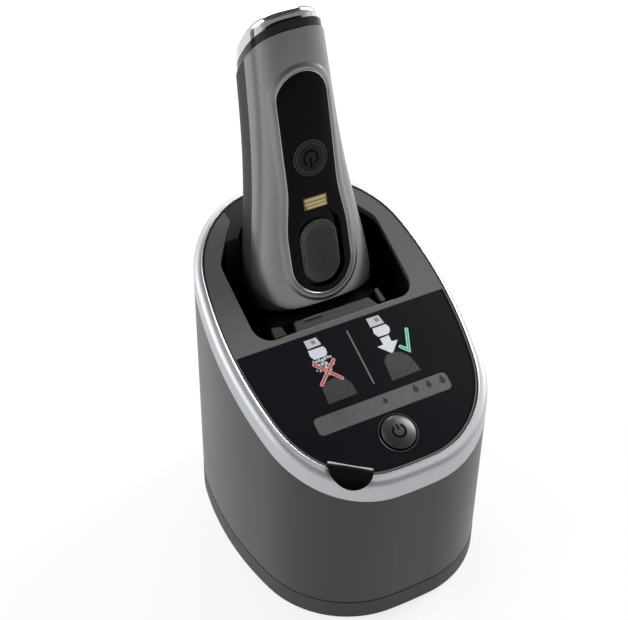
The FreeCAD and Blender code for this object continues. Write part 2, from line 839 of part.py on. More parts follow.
def indicator_leds():
    leds = []
    y = up_slope(window_y)
    for x in led_places:
        leds.append(on_top(box(x - led_size / 2, x + led_size / 2, y - led_size / 2, y + led_size / 2,
                               -board_depth, -board_depth + 1.4)))
    return Part.makeCompound(leds)


def clean_switch():
    s = switch_size / 2
    base = -board_depth
    body = box(-s, s, -s, s, base, base + switch_height)
    return on_button(body.fuse(rod(1.7, 0.9, V(0, 0, base + switch_height))))


parts["outer_sleeve"] = outer_sleeve()
parts["trim_ring"] = trim_ring()
parts["collar"] = collar()
parts["front_panel"] = front_panel()
parts["protective_film"] = protective_film()
parts["pull_tab"] = pull_tab()
parts["indicator_window"] = indicator_window()
parts["button_bezel"] = button_bezel()
parts["clean_button"] = clean_button()
parts["circuit_board"] = circuit_board()
parts["indicator_leds"] = indicator_leds()
parts["clean_switch"] = clean_switch()


# ---------------------------------------------------------------- well and deck
def well_level(inset, z, share):
    """Outline of the well at a height, between the floor's outline at share 0 and the opening's at share 1."""
    def mix(low, high):
        return low + (high - low) * share

    w = mix(well_floor_half_width, well_half_width) - inset
    front = mix(well_floor_front_y, well_front_y) + inset
    rear = mix(well_floor_rear_y, well_kink_y + 3) - inset
    r = well_corner - inset
    corners = [(-w, front), (w, front), (w, rear), (-w, rear)]
    return rounded_outline(corners, [r, r, 1.6 * r, 1.6 * r], z)


def well_share(z):
    """How far a height lies from the well's floor, at 0, to its rim, at 1."""
    return (z - well_floor_z) / (top_z(well_front_y) - well_floor_z)


def well_body(inset, z_low):
    levels = [well_level(inset, z, well_share(z)) for z in (z_low, TALL)]
    return Part.makeLoft(levels, True, True)


def well_basin():
    outer = well_body(-well_wall, well_floor_z - well_wall).common(slab(collar_thick, REACH))
    outer = outer.common(prism(ring_width + 0.1, 0, TALL))
    inner = well_body(0.0, well_floor_z)
    spout_low = port_z + seal_height
    spout = rod(drain_bore + drain_wall, well_floor_z - spout_low, V(0, drain_y, spout_low))
    basin = outer.cut(inner).fuse(spout)
    flange = Part.makeCylinder(drain_bore + 7, well_floor_z - well_wall - deck_top, V(0, drain_y, deck_top))
    basin = basin.fuse(flange)
    basin = basin.cut(rod(drain_bore, well_floor_z, V(0, drain_y, spout_low - 1)))
    carrier_zone = plate(well_outline(0, 0), V(0, 0, TALL))
    carrier_zone = carrier_zone.common(box(-REACH, REACH, carrier_front_y() - 1, REACH, 0, TALL))
    basin = basin.cut(carrier_zone.common(slab(0, carrier_depth)))
    return basin.cut(LIFT_PATH)


def carrier_front_y():
    return well_kink_y - 2.0


def well_ledge():
    """Grey ledge below the front lip, notched at both ends, with a small catch slot."""
    front = well_front_y + 0.02
    bar = box(-ledge_half_width, ledge_half_width, front - 0.5, front + ledge_depth, 0, TALL)
    bar = bar.common(slab(ledge_drop, ledge_drop + ledge_thick))
    bar = bar.cut(box(-12.5, -4.2, front + ledge_depth - 2.0, front + ledge_depth - 0.8, 0, TALL))
    return bar


contact_xs = (-contact_pitch, 0, contact_pitch)


def contact_carrier():
    crown = prism(collar_inset, 0, TALL).common(slab(collar_drop, ring_height + carrier_gap))
    body = prism(wall + carrier_fit, 0, TALL).common(slab(ring_height + carrier_gap, carrier_depth))
    channel = plate(well_outline(carrier_gap, 0), V(0, 0, TALL))
    block = crown.fuse(body).common(box(-REACH, REACH, carrier_front_y(), REACH, 0, TALL))
    return block.common(channel).cut(LIFT_PATH)


def contact_pins():
    pins = []
    for x in contact_xs:
        tip = V(x, max(handle_half_depths) + pin_clear, contact_s)
        pins.append(docked(rod(contact_radius, contact_length, tip, AXIS_Y)))
    return Part.makeCompound(pins)


def inner_frame():
    """Deck that carries the pump, the drain and the bushes on the guide columns."""
    deck = prism(wall + carrier_fit, deck_low, deck_top)
    rim = prism(wall + carrier_fit, deck_top, deck_top + 3.0).cut(prism(wall + 1.6, deck_top, deck_top + 3.0))
    rim = rim.cut(box(-REACH, REACH, 0, REACH, 0, REACH))
    for place in boss_places:
        rim = rim.cut(rod(boss_radius + 0.1, REACH, place))
    bushes = []
    for place in column_places:
        low = deck_low - bush_drop
        bushes.append(rod(column_radius + column_fit + bush_wall, bush_drop, place + V(0, 0, low)))
    cradle_y = pump_y()
    cradles = [box(x, x + cradle_thick, cradle_y - 10, cradle_y + 10, deck_top, pump_z() - 4) for x in (-22.0, 2.0)]
    frame = joined([deck, rim] + bushes + cradles)
    for place in column_places:
        frame = frame.cut(rod(column_radius + column_fit, REACH, place))
    for place in boss_places:
        frame = frame.cut(rod(screw_radius + 0.1, REACH, place))
    frame = frame.cut(rod(drain_bore + drain_wall + 0.1, REACH, V(0, drain_y, 0)))
    frame = frame.cut(rod(intake_radius + 0.1, REACH, V(intake_x, intake_y, 0)))
    return frame.cut(rod(motor_radius + 0.1, REACH, V(-REACH / 2, cradle_y, pump_z()), AXIS_X))


def pump_y():
    return intake_y


def pump_z():
    return deck_top + motor_radius + 2.5


def pump_motor():
    x0 = intake_x - pump_head_length / 2 - motor_length - 4.0
    body = rod(motor_radius, motor_length, V(x0, pump_y(), pump_z()), AXIS_X)
    neck = rod(4.0, 4.0, V(x0 + motor_length, pump_y(), pump_z()), AXIS_X)
    shaft = rod(2.0, 3.0, V(x0 - 3.0, pump_y(), pump_z()), AXIS_X)
    flats = box(x0 - 1, x0 + motor_length + 1, pump_y() - REACH, pump_y() - 10.0, 0, REACH)
    flats = flats.fuse(box(x0 - 1, x0 + motor_length + 1, pump_y() + 10.0, pump_y() + REACH, 0, REACH))
    return joined([body.cut(flats), neck, shaft])


def pump_head():
    x0 = intake_x - pump_head_length / 2
    body = rod(pump_head_radius, pump_head_length, V(x0, pump_y(), pump_z()), AXIS_X)
    foot = box(x0, x0 + pump_head_length, pump_y() - 9, pump_y() + 9, deck_top, pump_z() - 6)
    nozzle = rod(3.0, 6.0, V(intake_x, pump_y() + pump_head_radius - 1.0, pump_z() + 4.0), AXIS_Y)
    head = joined([body, foot, nozzle])
    head = head.cut(rod(intake_radius, pump_z() - deck_top, V(intake_x, intake_y, deck_top - 0.1)))
    return head.cut(rod(2.0, 12.0, V(intake_x, pump_y() + pump_head_radius - 6.0, pump_z() + 4.0), AXIS_Y))


def suction_pipe():
    low = port_z + seal_height
    return tube(intake_radius - 0.1, intake_radius - pipe_wall, pump_z() - 4.0 - low, V(intake_x, intake_y, low))


def delivery_pipe():
    """Pipe from the pump's nozzle up to the inlet in the well's front wall."""
    start = V(intake_x, pump_y() + pump_head_radius + 5.1, pump_z() + 4.0)
    wall_y = well_floor_front_y + (well_front_y - well_floor_front_y) * well_share(start.z - 3.0) - well_wall
    length = wall_y - start.y - 0.1
    return tube(3.0, 2.0, length, start, AXIS_Y)


def face_seals():
    drain = tube(drain_bore + 3, drain_bore, seal_height, V(0, drain_y, port_z))
    drain = drain.fuse(tube(drain_bore + 3, drain_bore + drain_wall + 0.05, deck_low - port_z, V(0, drain_y, port_z)))
    intake = tube(intake_radius + 2.5, intake_radius - pipe_wall, seal_height, V(intake_x, intake_y, port_z))
    intake = intake.fuse(tube(intake_radius + 2.5, intake_radius, deck_low - port_z, V(intake_x, intake_y, port_z)))
    return Part.makeCompound([drain, intake])


def frame_screws():
    return Part.makeCompound([screw(place + V(0, 0, deck_low), 10.0) for place in boss_places])


def power_inlet():
    """Round socket with two pins, behind the sleeve's rear wall."""
    inner_wall = Part.Vertex(inlet_x, half_depth, 0).distToShape(oval(wall))[1][0][1]
    base = V(inlet_x, inner_wall.y - inlet_depth + 2.0, inlet_z)
    body = rod(inlet_radius - 0.1, inlet_depth + 4.0, base, AXIS_Y).common(prism(0.4, 0, TALL))
    flange = rod(inlet_radius + 1.5, inlet_depth - 4.0, base, AXIS_Y)
    socket = body.fuse(flange.common(prism(wall, 0, TALL)))
    mouth = round_bar(2 * inlet_radius - 2.4, 6.0, 2.9, 0, REACH)
    mouth.Placement = FreeCAD.Placement(V(inlet_x, base.y + REACH + 3.0, inlet_z), FreeCAD.Rotation(AXIS_X, 90))
    socket = socket.cut(mouth)
    pins = [rod(inlet_pin_radius, inlet_cavity - 2, V(inlet_x + side * inlet_pin_gap / 2, base.y + 2.5, inlet_z), AXIS_Y)
            for side in (1, -1)]
    leg = box(inlet_x - 4, inlet_x + 4, base.y + 1, base.y + 5, deck_top, inlet_z - inlet_radius)
    return joined([socket, leg] + pins)


parts["well_basin"] = well_basin()
parts["well_ledge"] = well_ledge()
parts["contact_carrier"] = contact_carrier()
parts["contact_pins"] = contact_pins()
parts["contact_carrier"] = parts["contact_carrier"].cut(parts["contact_pins"])
parts["inner_frame"] = inner_frame()
parts["pump_motor"] = pump_motor()
parts["pump_head"] = pump_head()
parts["suction_pipe"] = suction_pipe()
parts["delivery_pipe"] = delivery_pipe()
parts["face_seals"] = face_seals()
parts["frame_screws"] = frame_screws()
parts["power_inlet"] = power_inlet()


# ---------------------------------------------------------------- lift button and latch
def lift_button():
    z_mid = lift_button_z + lift_button_height / 2
    face = round_bar(2 * lift_button_half_width, lift_button_height, 2.6, 0, REACH)
    face.Placement = FreeCAD.Placement(V(0, REACH, z_mid), FreeCAD.Rotation(AXIS_X, 90))
    inner_y = half_depth - wall - latch_travel - 3.0
    cap = face.common(prism(-lift_button_proud, 0, TALL)).common(box(-REACH, REACH, inner_y, REACH, 0, TALL))
    for i in range(3):
        z = z_mid - 2.0 + 2.0 * i
        cap = cap.cut(box(-7, 7, half_depth + lift_button_proud - 0.4, REACH, z - 0.4, z + 0.4))
    flange = box(-lift_button_half_width - 1.5, lift_button_half_width + 1.5, inner_y, REACH,
                 lift_button_z - 1.2, lift_button_top + 1.2).common(prism(wall + 0.3, 0, TALL))
    leg = box(-6, 6, inner_y, inner_y + 2.0, deck_top + latch_gap + latch_thick, lift_button_z)
    return joined([cap, flange, leg])


def latch_plate():
    """Flat T on the deck with a fork round each rear column; its edges drop into the columns' grooves."""
    z0 = deck_top + latch_gap
    y_col = column_ys[1]
    inner_y = half_depth - wall - latch_travel - 3.0
    stem = box(-6, 6, y_col + 6, inner_y + 2.0, z0, z0 + latch_thick)
    bar = box(-column_x - 1, column_x + 1, y_col + 6, y_col + 12, z0, z0 + latch_thick)
    arms = both_sides(box(column_x - 3.9 - 2.4, column_x + 1, y_col - 2, y_col + 12, z0, z0 + latch_thick))
    latch = joined([stem, bar] + arms)
    for side in (1, -1):
        centre = V(side * column_x, y_col, 0)
        clear = column_radius + latch_clear
        latch = latch.cut(rod(clear, REACH, centre))
        latch = latch.cut(box(centre.x - clear, centre.x + clear, y_col - 20, y_col, 0, REACH))
        latch = latch.cut(rod(clear, REACH, centre + V(0, latch_travel, 0)))
    return latch.common(prism(wall + 0.4, 0, TALL))


parts["lift_button"] = lift_button()
parts["latch_plate"] = latch_plate()


# ---------------------------------------------------------------- shaver handle
OUTER = handle(0.0)
INLAY_LEVEL = handle(inlay_thick)
INNER = handle(shell_wall)


def front_zone():
    """The part of the handle that the front shell covers: its front, with round lower and upper corners."""
    w = max(handle_half_widths) + 1.0
    narrow = handle_half_widths[-2] + 1.5
    high = shell_top + 12
    corners = [(-w, 0.0), (w, 0.0), (w, shell_hip), (narrow, high), (-narrow, high), (-w, shell_hip)]
    radii = [shell_bottom_corner, shell_bottom_corner, 10.0, shell_top_corner, shell_top_corner, 10.0]
    zone = facing_front(rounded_outline(corners, radii), -REACH, seam_depth)
    return zone.common(tail_cut(shell_top))


ZONE = front_zone()
POWER_HOLE = rod(power_radius + small_gap, REACH, V(0, 0, power_s), V(0, -1, 0))


def pad_outline(margin, extra_top):
    return stadium(pad_half_width + margin, pad_s - pad_half_length - margin, pad_s + pad_half_length + margin + extra_top)


def shell_blank():
    return OUTER.cut(INNER).common(tail_cut(shell_top))


BLANK = shell_blank()


def front_shell():
    shell = BLANK.common(ZONE)
    pocket = facing_front(inlay_outline(small_gap / 2), -REACH, 0).cut(INLAY_LEVEL)
    shell = shell.cut(pocket).cut(POWER_HOLE)
    recess = facing_front(pad_outline(pad_margin, pad_travel), -REACH, 0).cut(RECESS_LEVEL)
    return shell.cut(recess)


def back_shell():
    shell = BLANK.cut(ZONE)
    slot = box(-trimmer_half_width - small_gap, trimmer_half_width + small_gap, trimmer_floor, REACH,
               trimmer_bottom - trimmer_travel - 1.0, trimmer_top + 0.5)
    shell = shell.cut(slot)
    for x in contact_xs:
        shell = shell.cut(rod(stud_radius + stud_fit, REACH, V(x, 0, contact_s), AXIS_Y))
    return shell


def charging_contacts():
    studs = []
    for x in contact_xs:
        stud = rod(stud_radius, REACH, V(x, 0, contact_s), AXIS_Y).common(OUTER.cut(INNER))
        studs.append(docked(stud))
    return Part.makeCompound(studs)


def inlay():
    body = facing_front(inlay_outline(0), -REACH, 0).common(OUTER).cut(INLAY_LEVEL)
    body = body.cut(POWER_HOLE)
    return body.cut(facing_front(pad_outline(pad_margin, pad_travel), -REACH, 0))


RECESS_LEVEL = handle(recess_depth)


def tail_ring():
    return handle(tail_inset).common(tail_cut(tail_top)).cut(tail_cut(shell_top))


def end_cap():
    cap = handle(cap_inset).translated(V(0, cap_back, 0))
    cap = cap.common(tail_cut(cap_top)).cut(tail_cut(tail_top)).Solids[0]
    end = max(cap.Faces, key=lambda face: face.CenterOfMass.z)
    cap = cap.makeFillet(cap_round, end.OuterWire.Edges)
    lean_back = math.radians(tail_slant)
    normal = V(0, math.sin(lean_back), math.cos(lean_back))
    centre = V(0, 0, cap_top - handle_half_depths[-2] * math.tan(lean_back))
    socket = round_bar(2 * socket_half_width, 2 * socket_half_depth, socket_half_depth * 0.98, -socket_depth, 5.0)
    socket.Placement = FreeCAD.Placement(centre, FreeCAD.Rotation(AXIS_Z, normal))
    return cap.cut(socket)


def power_button():
    cap = rod(power_radius, REACH, V(0, 0, power_s), V(0, -1, 0))
    cap = cap.common(handle(-power_proud)).cut(handle(recess_depth - 0.2))
    board_front = chassis_y - shaver_board_gap - shaver_board_thick
    stem = rod(1.8, 4.6, V(0, board_front - power_travel - 0.3 - 4.6, power_s), AXIS_Y)
    return cap.fuse(stem)


def head_lock_pad():
    body = facing_front(pad_outline(0, 0), -REACH, 0)
    return body.common(handle(pad_sink)).cut(handle(pad_sink + pad_thick))


def shaver_chassis():
    sheet = box(-chassis_half_width, chassis_half_width, chassis_y, chassis_y + chassis_thick, chassis_bottom, chassis_top)
    inside = handle(shell_wall + inner_gap)
    ends = []
    for s in (chassis_bottom, chassis_top - bulkhead_thick):
        ends.append(inside.common(box(-REACH, REACH, -REACH, REACH, s, s + bulkhead_thick)))
    posts = [rod(1.6, shaver_board_gap, V(sx * 8.0, chassis_y - shaver_board_gap, s), AXIS_Y)
             for sx in (1, -1) for s in (shaver_board_bottom + 6, shaver_board_top - 6)]
    return joined([sheet] + ends + posts)


def shaver_board():
    front = chassis_y - shaver_board_gap - shaver_board_thick
    half = shaver_board_half_width
    board = box(-half, half, front, front + shaver_board_thick, shaver_board_bottom, shaver_board_top)
    return board


def battery():
    y = chassis_y + chassis_thick + inner_gap + battery_radius
    cell = rod(battery_radius, battery_length, V(0, y, battery_bottom))
    return cell.fuse(rod(2.4, 1.0, V(0, y, battery_bottom + battery_length)))


def drive_motor():
    y0 = chassis_y + chassis_thick + inner_gap
    body = box(-drive_half_width, drive_half_width, y0, y0 + drive_depth, drive_bottom, drive_bottom + drive_length)
    return body.makeFillet(2.0, [edge for edge in body.Edges if edge.BoundBox.ZLength > drive_length - 1])


def neck_stem():
    """Black neck under the shells, with the lug that carries the head's axle."""
    plate_top = section(neck_half_width, neck_half_depth, 0.0)
    collar_part = Part.Face(plate_top).extrude(V(0, 0, -neck_length))
    cover = Part.Face(section(handle_half_widths[0] - shell_wall, handle_half_depths[0] - shell_wall, 0.0))
    cover = cover.extrude(V(0, 0, 2.0))
    lug = box(-stem_half_width, stem_half_width, -stem_half_depth, stem_half_depth, head_pivot - 3.4, -neck_length)
    lug = lug.makeFillet(2.0, [edge for edge in lug.Edges
                               if edge.BoundBox.ZMax < head_pivot - 3.3 and edge.BoundBox.XLength > 1])
    neck = joined([collar_part, cover.common(INNER), lug])
    return neck.cut(rod(axle_radius, REACH, V(-REACH / 2, 0, head_pivot), AXIS_X))


def head_axle():
    return rod(axle_radius, 2 * (head_half_width - 6), V(-(head_half_width - 6), 0, head_pivot), AXIS_X)


def head_frame():
    """Carrier of the foil cassette, with a slot for the neck's lug and bores for the axle."""
    low = section(head_half_width, head_half_depth, head_bottom, head_power)
    block = Part.Face(low).extrude(V(0, 0, head_top - head_bottom))
    slot = box(-stem_half_width - small_gap, stem_half_width + small_gap, -9.0, 9.0, head_pivot - 5.0, 0)
    block = block.cut(slot)
    cassette_room = foil_offset + foil_radius + 0.6
    block = block.cut(box(-foil_half_length - 0.6, foil_half_length + 0.6, -cassette_room, cassette_room,
                          head_bottom - 1, head_bottom + 5.0))
    block = block.cut(rod(axle_radius + axle_fit, REACH, V(-REACH / 2, 0, head_pivot), AXIS_X).common(
        box(-(head_half_width - 6) - 0.3, head_half_width - 6 + 0.3, -5, 5, head_pivot - 5, head_pivot + 5)))
    for side in (1, -1):
        block = block.cut(release_hole(side))
    return block


def release_hole(side):
    base = V(side * (head_half_width - 4.0), 0, release_s)
    return rod(release_radius + small_gap, 10.0, base, V(side, 0, 0))


def release_button(side):
    base = V(side * (head_half_width - 4.0 + release_travel + 0.2), 0, release_s)
    return rod(release_radius, 4.0 - release_travel - 0.2 + release_proud, base, V(side, 0, 0))


def foil_frame():
    """Cassette frame round the foils."""
    low = section(head_half_width - cassette_inset, head_half_depth - cassette_inset, cassette_bottom, head_power)
    block = Part.Face(low).extrude(V(0, 0, head_bottom - cassette_bottom))
    room = foil_offset + foil_radius + 0.05
    window = box(-foil_half_length - 0.05, foil_half_length + 0.05, -room, room, cassette_bottom - 1, head_bottom + 1)
    return block.cut(window)


def foil_profile(radius, y):
    """Arch of one foil: half cylinder along X with straight legs up into the cassette."""
    s_arc = cassette_bottom
    legs = box(-foil_half_length, foil_half_length, y - radius, y + radius, s_arc, head_bottom - 0.2)
    arch = rod(radius, 2 * foil_half_length, V(-foil_half_length, y, s_arc), AXIS_X)
    return legs.fuse(arch)


def shaving_foils():
    foils = []
    for y in (-foil_offset, foil_offset):
        skin = foil_profile(foil_radius, y).cut(
            foil_profile(foil_radius - foil_thick, y).translated(V(0, 0, 0)).cut(
                box(-REACH, REACH, -REACH, REACH, head_bottom - 1.2, REACH)))
        foils.append(docked(skin.removeSplitter()))
    return Part.makeCompound(foils)


def middle_trimmer():
    """Comb strip between the two foils."""
    half = foil_offset - foil_radius - small_gap
    bar = box(-foil_half_length, foil_half_length, -half, half, cassette_bottom - 3.0, head_bottom - 0.2)
    for i in range(10):
        x = -foil_half_length + 2.2 + i * 4.3
        bar = bar.cut(box(x, x + 1.5, -REACH, REACH, cassette_bottom - 4.0, cassette_bottom - 1.2))
    return bar


def cutter_blocks():
    """Two rows of thin cutting blades on a bar, inside the foils."""
    radius = foil_radius - foil_thick - cutter_gap
    length = foil_half_length - cutter_travel - 1.2
    blocks = []
    for y in (-foil_offset, foil_offset):
        bar = box(-length, length, y - 1.6, y + 1.6, cassette_bottom - 1.0, head_bottom - 2.0)
        fins = []
        pitch = (2 * length - fin_thick) / (cutter_fins - 1)
        for i in range(cutter_fins):
            fins.append(rod(radius, fin_thick, V(-length + i * pitch, y, cassette_bottom), AXIS_X))
        blocks.append(docked(joined([bar] + fins)))
    return Part.makeCompound(blocks)


def trimmer_slide():
    """Long hair trimmer on the back: sliding plate with a thumb rib and a comb at the head end."""
    low = trimmer_floor + small_gap
    body = box(-trimmer_half_width, trimmer_half_width, low, low + trimmer_thick, trimmer_bottom, trimmer_top)
    rib = box(-5, 5, low + trimmer_thick, low + trimmer_thick + 1.0, trimmer_top - 12, trimmer_top - 9)
    teeth = []
    count = int(2 * trimmer_half_width / tooth_pitch)
    for i in range(count):
        x = -trimmer_half_width + 0.4 + i * tooth_pitch
        teeth.append(box(x, x + 0.7, low - 0.1, low + 1.6, trimmer_bottom - 1, trimmer_bottom + 2.5))
    body = body.fuse(rib)
    for tooth in teeth:
        body = body.cut(tooth)
    return body.removeSplitter()


parts["front_shell"] = docked(front_shell())
parts["back_shell"] = docked(back_shell())
parts["charging_contacts"] = charging_contacts()
parts["inlay"] = docked(inlay())
parts["tail_ring"] = docked(tail_ring())
parts["end_cap"] = docked(end_cap())
parts["power_button"] = docked(power_button())
parts["head_lock_pad"] = docked(head_lock_pad())
parts["shaver_chassis"] = docked(shaver_chassis())
parts["shaver_board"] = docked(shaver_board())
parts["battery"] = docked(battery())
parts["drive_motor"] = docked(drive_motor())
parts["neck_stem"] = docked(neck_stem())
parts["head_axle"] = docked(head_axle())
parts["head_frame"] = docked(head_frame())
parts["foil_frame"] = docked(foil_frame())
parts["shaving_foils"] = shaving_foils()
parts["middle_trimmer"] = docked(middle_trimmer())
parts["cutter_blocks"] = cutter_blocks()
parts["release_button_left"] = docked(release_button(-1))
parts["release_button_right"] = docked(release_button(1))
parts["trimmer_slide"] = docked(trimmer_slide())

os.makedirs("parts", exist_ok=True)
for name, shape in parts.items():
    shape.exportStep("parts/" + name + ".step")
print(len(parts), "nodes")
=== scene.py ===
import bpy
import bmesh
import math
import numpy as np
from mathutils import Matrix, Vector


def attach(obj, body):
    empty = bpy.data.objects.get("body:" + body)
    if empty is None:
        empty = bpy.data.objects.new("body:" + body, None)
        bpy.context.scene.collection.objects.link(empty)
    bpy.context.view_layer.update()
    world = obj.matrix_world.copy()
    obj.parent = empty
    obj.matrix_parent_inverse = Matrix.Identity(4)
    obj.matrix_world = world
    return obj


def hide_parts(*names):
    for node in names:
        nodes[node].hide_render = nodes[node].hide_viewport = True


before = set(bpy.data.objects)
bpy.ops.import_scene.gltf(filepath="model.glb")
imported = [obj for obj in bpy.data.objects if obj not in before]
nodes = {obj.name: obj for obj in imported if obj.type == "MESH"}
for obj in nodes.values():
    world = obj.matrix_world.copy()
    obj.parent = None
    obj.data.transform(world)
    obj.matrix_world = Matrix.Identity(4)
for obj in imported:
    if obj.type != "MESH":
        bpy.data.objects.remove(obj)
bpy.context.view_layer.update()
scene = bpy.context.scene
print("frame loaded:", len(nodes), "nodes")

# the housing in metres and degrees, shared by the pieces on its sloping top
station = {"halfWidth": 0.057, "halfDepth": 0.0704, "endFlat": 0.0108, "sideTurn": 12.7, "endTurn": 2.3,
           "frontHeight": 0.0863, "rearHeight": 0.1488}
slope = math.atan2(station["rearHeight"] - station["frontHeight"], 2 * station["halfDepth"])
midHeight = (station["rearHeight"] + station["frontHeight"]) / 2


def topZ(y):
    return midHeight + y * math.tan(slope)


def onTop(points):
    # turns points drawn flat (x across, y up the slope, z out of it) onto the sloping top
    p = np.asarray(points, float)
    c, s = math.cos(slope), math.sin(slope)
    return np.stack([p[..., 0], p[..., 1] * c - p[..., 2] * s, midHeight + p[..., 1] * s + p[..., 2] * c], -1)


def fromPlan(x, y, lift):
    # a plan point of the top plane in the flat drawing of onTop
    return np.stack([np.asarray(x, float), np.asarray(y, float) / math.cos(slope),
                     np.full(np.shape(x), lift)], -1)


# the docked shaver's neck in metres and its lean in degrees
shaver = {"neckY": 0.0301, "neckZ": 0.1156, "lean": 14.2}


def docked(points):
    # turns points of the shaver's own frame (z from neck to tail, -y its front) into the dock
    p = np.asarray(points, float)
    a = math.radians(shaver["lean"])
    c, s = math.cos(a), math.sin(a)
    return np.stack([p[..., 0], shaver["neckY"] + p[..., 1] * c + p[..., 2] * s,
                     shaver["neckZ"] - p[..., 1] * s + p[..., 2] * c], -1)


def placeNode(tree, kind, values=()):
    # a shader node with constants on its sockets
    node = tree.nodes.new("ShaderNode" + kind)
    for label, value in dict(values).items():
        node.inputs[label].default_value = value
    return node


def mathNode(tree, operation, a, b, clamp=False):
    node = placeNode(tree, "Math")
    node.operation = operation
    node.use_clamp = clamp
    for socket, value in zip(node.inputs, (a, b)):
        if isinstance(value, (int, float)):
            socket.default_value = value
        else:
            tree.links.new(value, socket)
    return node.outputs[0]


def newEffect(name, ownSocket):
    # a node group with the sockets that both surface effects share, and one more
    group = bpy.data.node_groups.new(name, "ShaderNodeTree")
    shared = [("Colour", "Color"), ("Roughness", "Float")]
    for label, kind in shared + [("Tone", "Float"), ("Spread", "Float"), ownSocket]:
        group.interface.new_socket(label, in_out="INPUT", socket_type="NodeSocket" + kind)
    for label, kind in shared + [("Height", "Float")]:
        group.interface.new_socket(label, in_out="OUTPUT", socket_type="NodeSocket" + kind)
    return group, group.nodes.new("NodeGroupInput"), group.nodes.new("NodeGroupOutput")


def finishEffect(group, source, result, gain, centred, height):
    # the colour times its gain, the roughness plus a share of the spread, and the height as it is
    scaled = placeNode(group, "VectorMath")
    scaled.operation = "SCALE"
    group.links.new(source.outputs["Colour"], scaled.inputs[0])
    group.links.new(gain, scaled.inputs["Scale"])
    group.links.new(scaled.outputs[0], result.inputs["Colour"])
    rough = mathNode(group, "MULTIPLY", centred, source.outputs["Spread"])
    rough = mathNode(group, "ADD", source.outputs["Roughness"], rough, True)
    group.links.new(rough, result.inputs["Roughness"])
    group.links.new(height, result.inputs["Height"])
    return group


noises = {"fineDetail": 3.0, "cloudScale": 34.0, "cloudDetail": 4.0, "streakDetail": 4.0}


def makeMouldGrain():
    # fine spark-eroded grain of moulded plastic: two noises, one for height and one for tone
    group, source, result = newEffect("mouldGrain", ("Scale", "Float"))
    place = placeNode(group, "TexCoord")
    fine = placeNode(group, "TexNoise", {"Detail": noises["fineDetail"]})
    cloud = placeNode(group, "TexNoise", {"Scale": noises["cloudScale"], "Detail": noises["cloudDetail"]})
    for noise in (fine, cloud):
        group.links.new(place.outputs["Object"], noise.inputs["Vector"])
    group.links.new(source.outputs["Scale"], fine.inputs["Scale"])
    centred = mathNode(group, "SUBTRACT", cloud.outputs[0], 0.5)
    grain = mathNode(group, "SUBTRACT", fine.outputs[0], 0.5)
    amount, speck = (mathNode(group, "MULTIPLY", part, source.outputs["Tone"]) for part in (centred, grain))
    gain = mathNode(group, "ADD", mathNode(group, "ADD", amount, speck), 1.0)
    return finishEffect(group, source, result, gain, centred, fine.outputs[0])


def makeBrushed():
    # long fine streaks: noise stretched along one axis of the object
    group, source, result = newEffect("brushedStreaks", ("Along", "Vector"))
    place = placeNode(group, "TexCoord")
    stretch = placeNode(group, "VectorMath")
    stretch.operation = "MULTIPLY"
    streak = placeNode(group, "TexNoise", {"Scale": 1.0, "Detail": noises["streakDetail"]})
    group.links.new(place.outputs["Object"], stretch.inputs[0])
    group.links.new(source.outputs["Along"], stretch.inputs[1])
    group.links.new(stretch.outputs[0], streak.inputs["Vector"])
    centred = mathNode(group, "SUBTRACT", streak.outputs[0], 0.5)
    gain = mathNode(group, "ADD", mathNode(group, "MULTIPLY", centred, source.outputs["Tone"]), 1.0)
    return finishEffect(group, source, result, gain, centred, streak.outputs[0])


mouldGrain, brushedStreaks = makeMouldGrain(), makeBrushed()


def newMaterial(name, colour, plain, effect, values, bump):
    # one Principled surface: plain numbers on its own sockets, its colour, roughness and normal from an effect
    material = bpy.data.materials.new(name)
    material.use_nodes = True
    material.diffuse_color = (*colour, 1)
    tree = material.node_tree
    shader = tree.nodes["Principled BSDF"]
    for label, value in plain.items():
        shader.inputs[label].default_value = value
    node = tree.nodes.new("ShaderNodeGroup")
    node.node_tree = effect
    for label, value in {"Colour": (*colour, 1), **values}.items():
        node.inputs[label].default_value = value
    tree.links.new(node.outputs["Colour"], shader.inputs["Base Color"])
    tree.links.new(node.outputs["Roughness"], shader.inputs["Roughness"])
    if bump:
        relief = placeNode(tree, "Bump", {"Strength": bump[0], "Distance": bump[1]})
        tree.links.new(node.outputs["Height"], relief.inputs["Height"])
        tree.links.new(relief.outputs[0], shader.inputs["Normal"])
    return material


def plasticLook(name, colour, roughness, scale, tone, spread=0.06, bump=(0.25, 0.00004), specular=0.5):
    values = {"Scale": scale, "Tone": tone, "Roughness": roughness, "Spread": spread}
    return newMaterial(name, colour, {"Specular IOR Level": specular}, mouldGrain, values, bump)


def metalLook(name, colour, roughness, along, tone=0.15, spread=0.12, bump=(0.15, 0.00003), metallic=1.0):
    values = {"Along": along, "Tone": tone, "Roughness": roughness, "Spread": spread}
    return newMaterial(name, colour, {"Metallic": metallic}, brushedStreaks, values, bump)


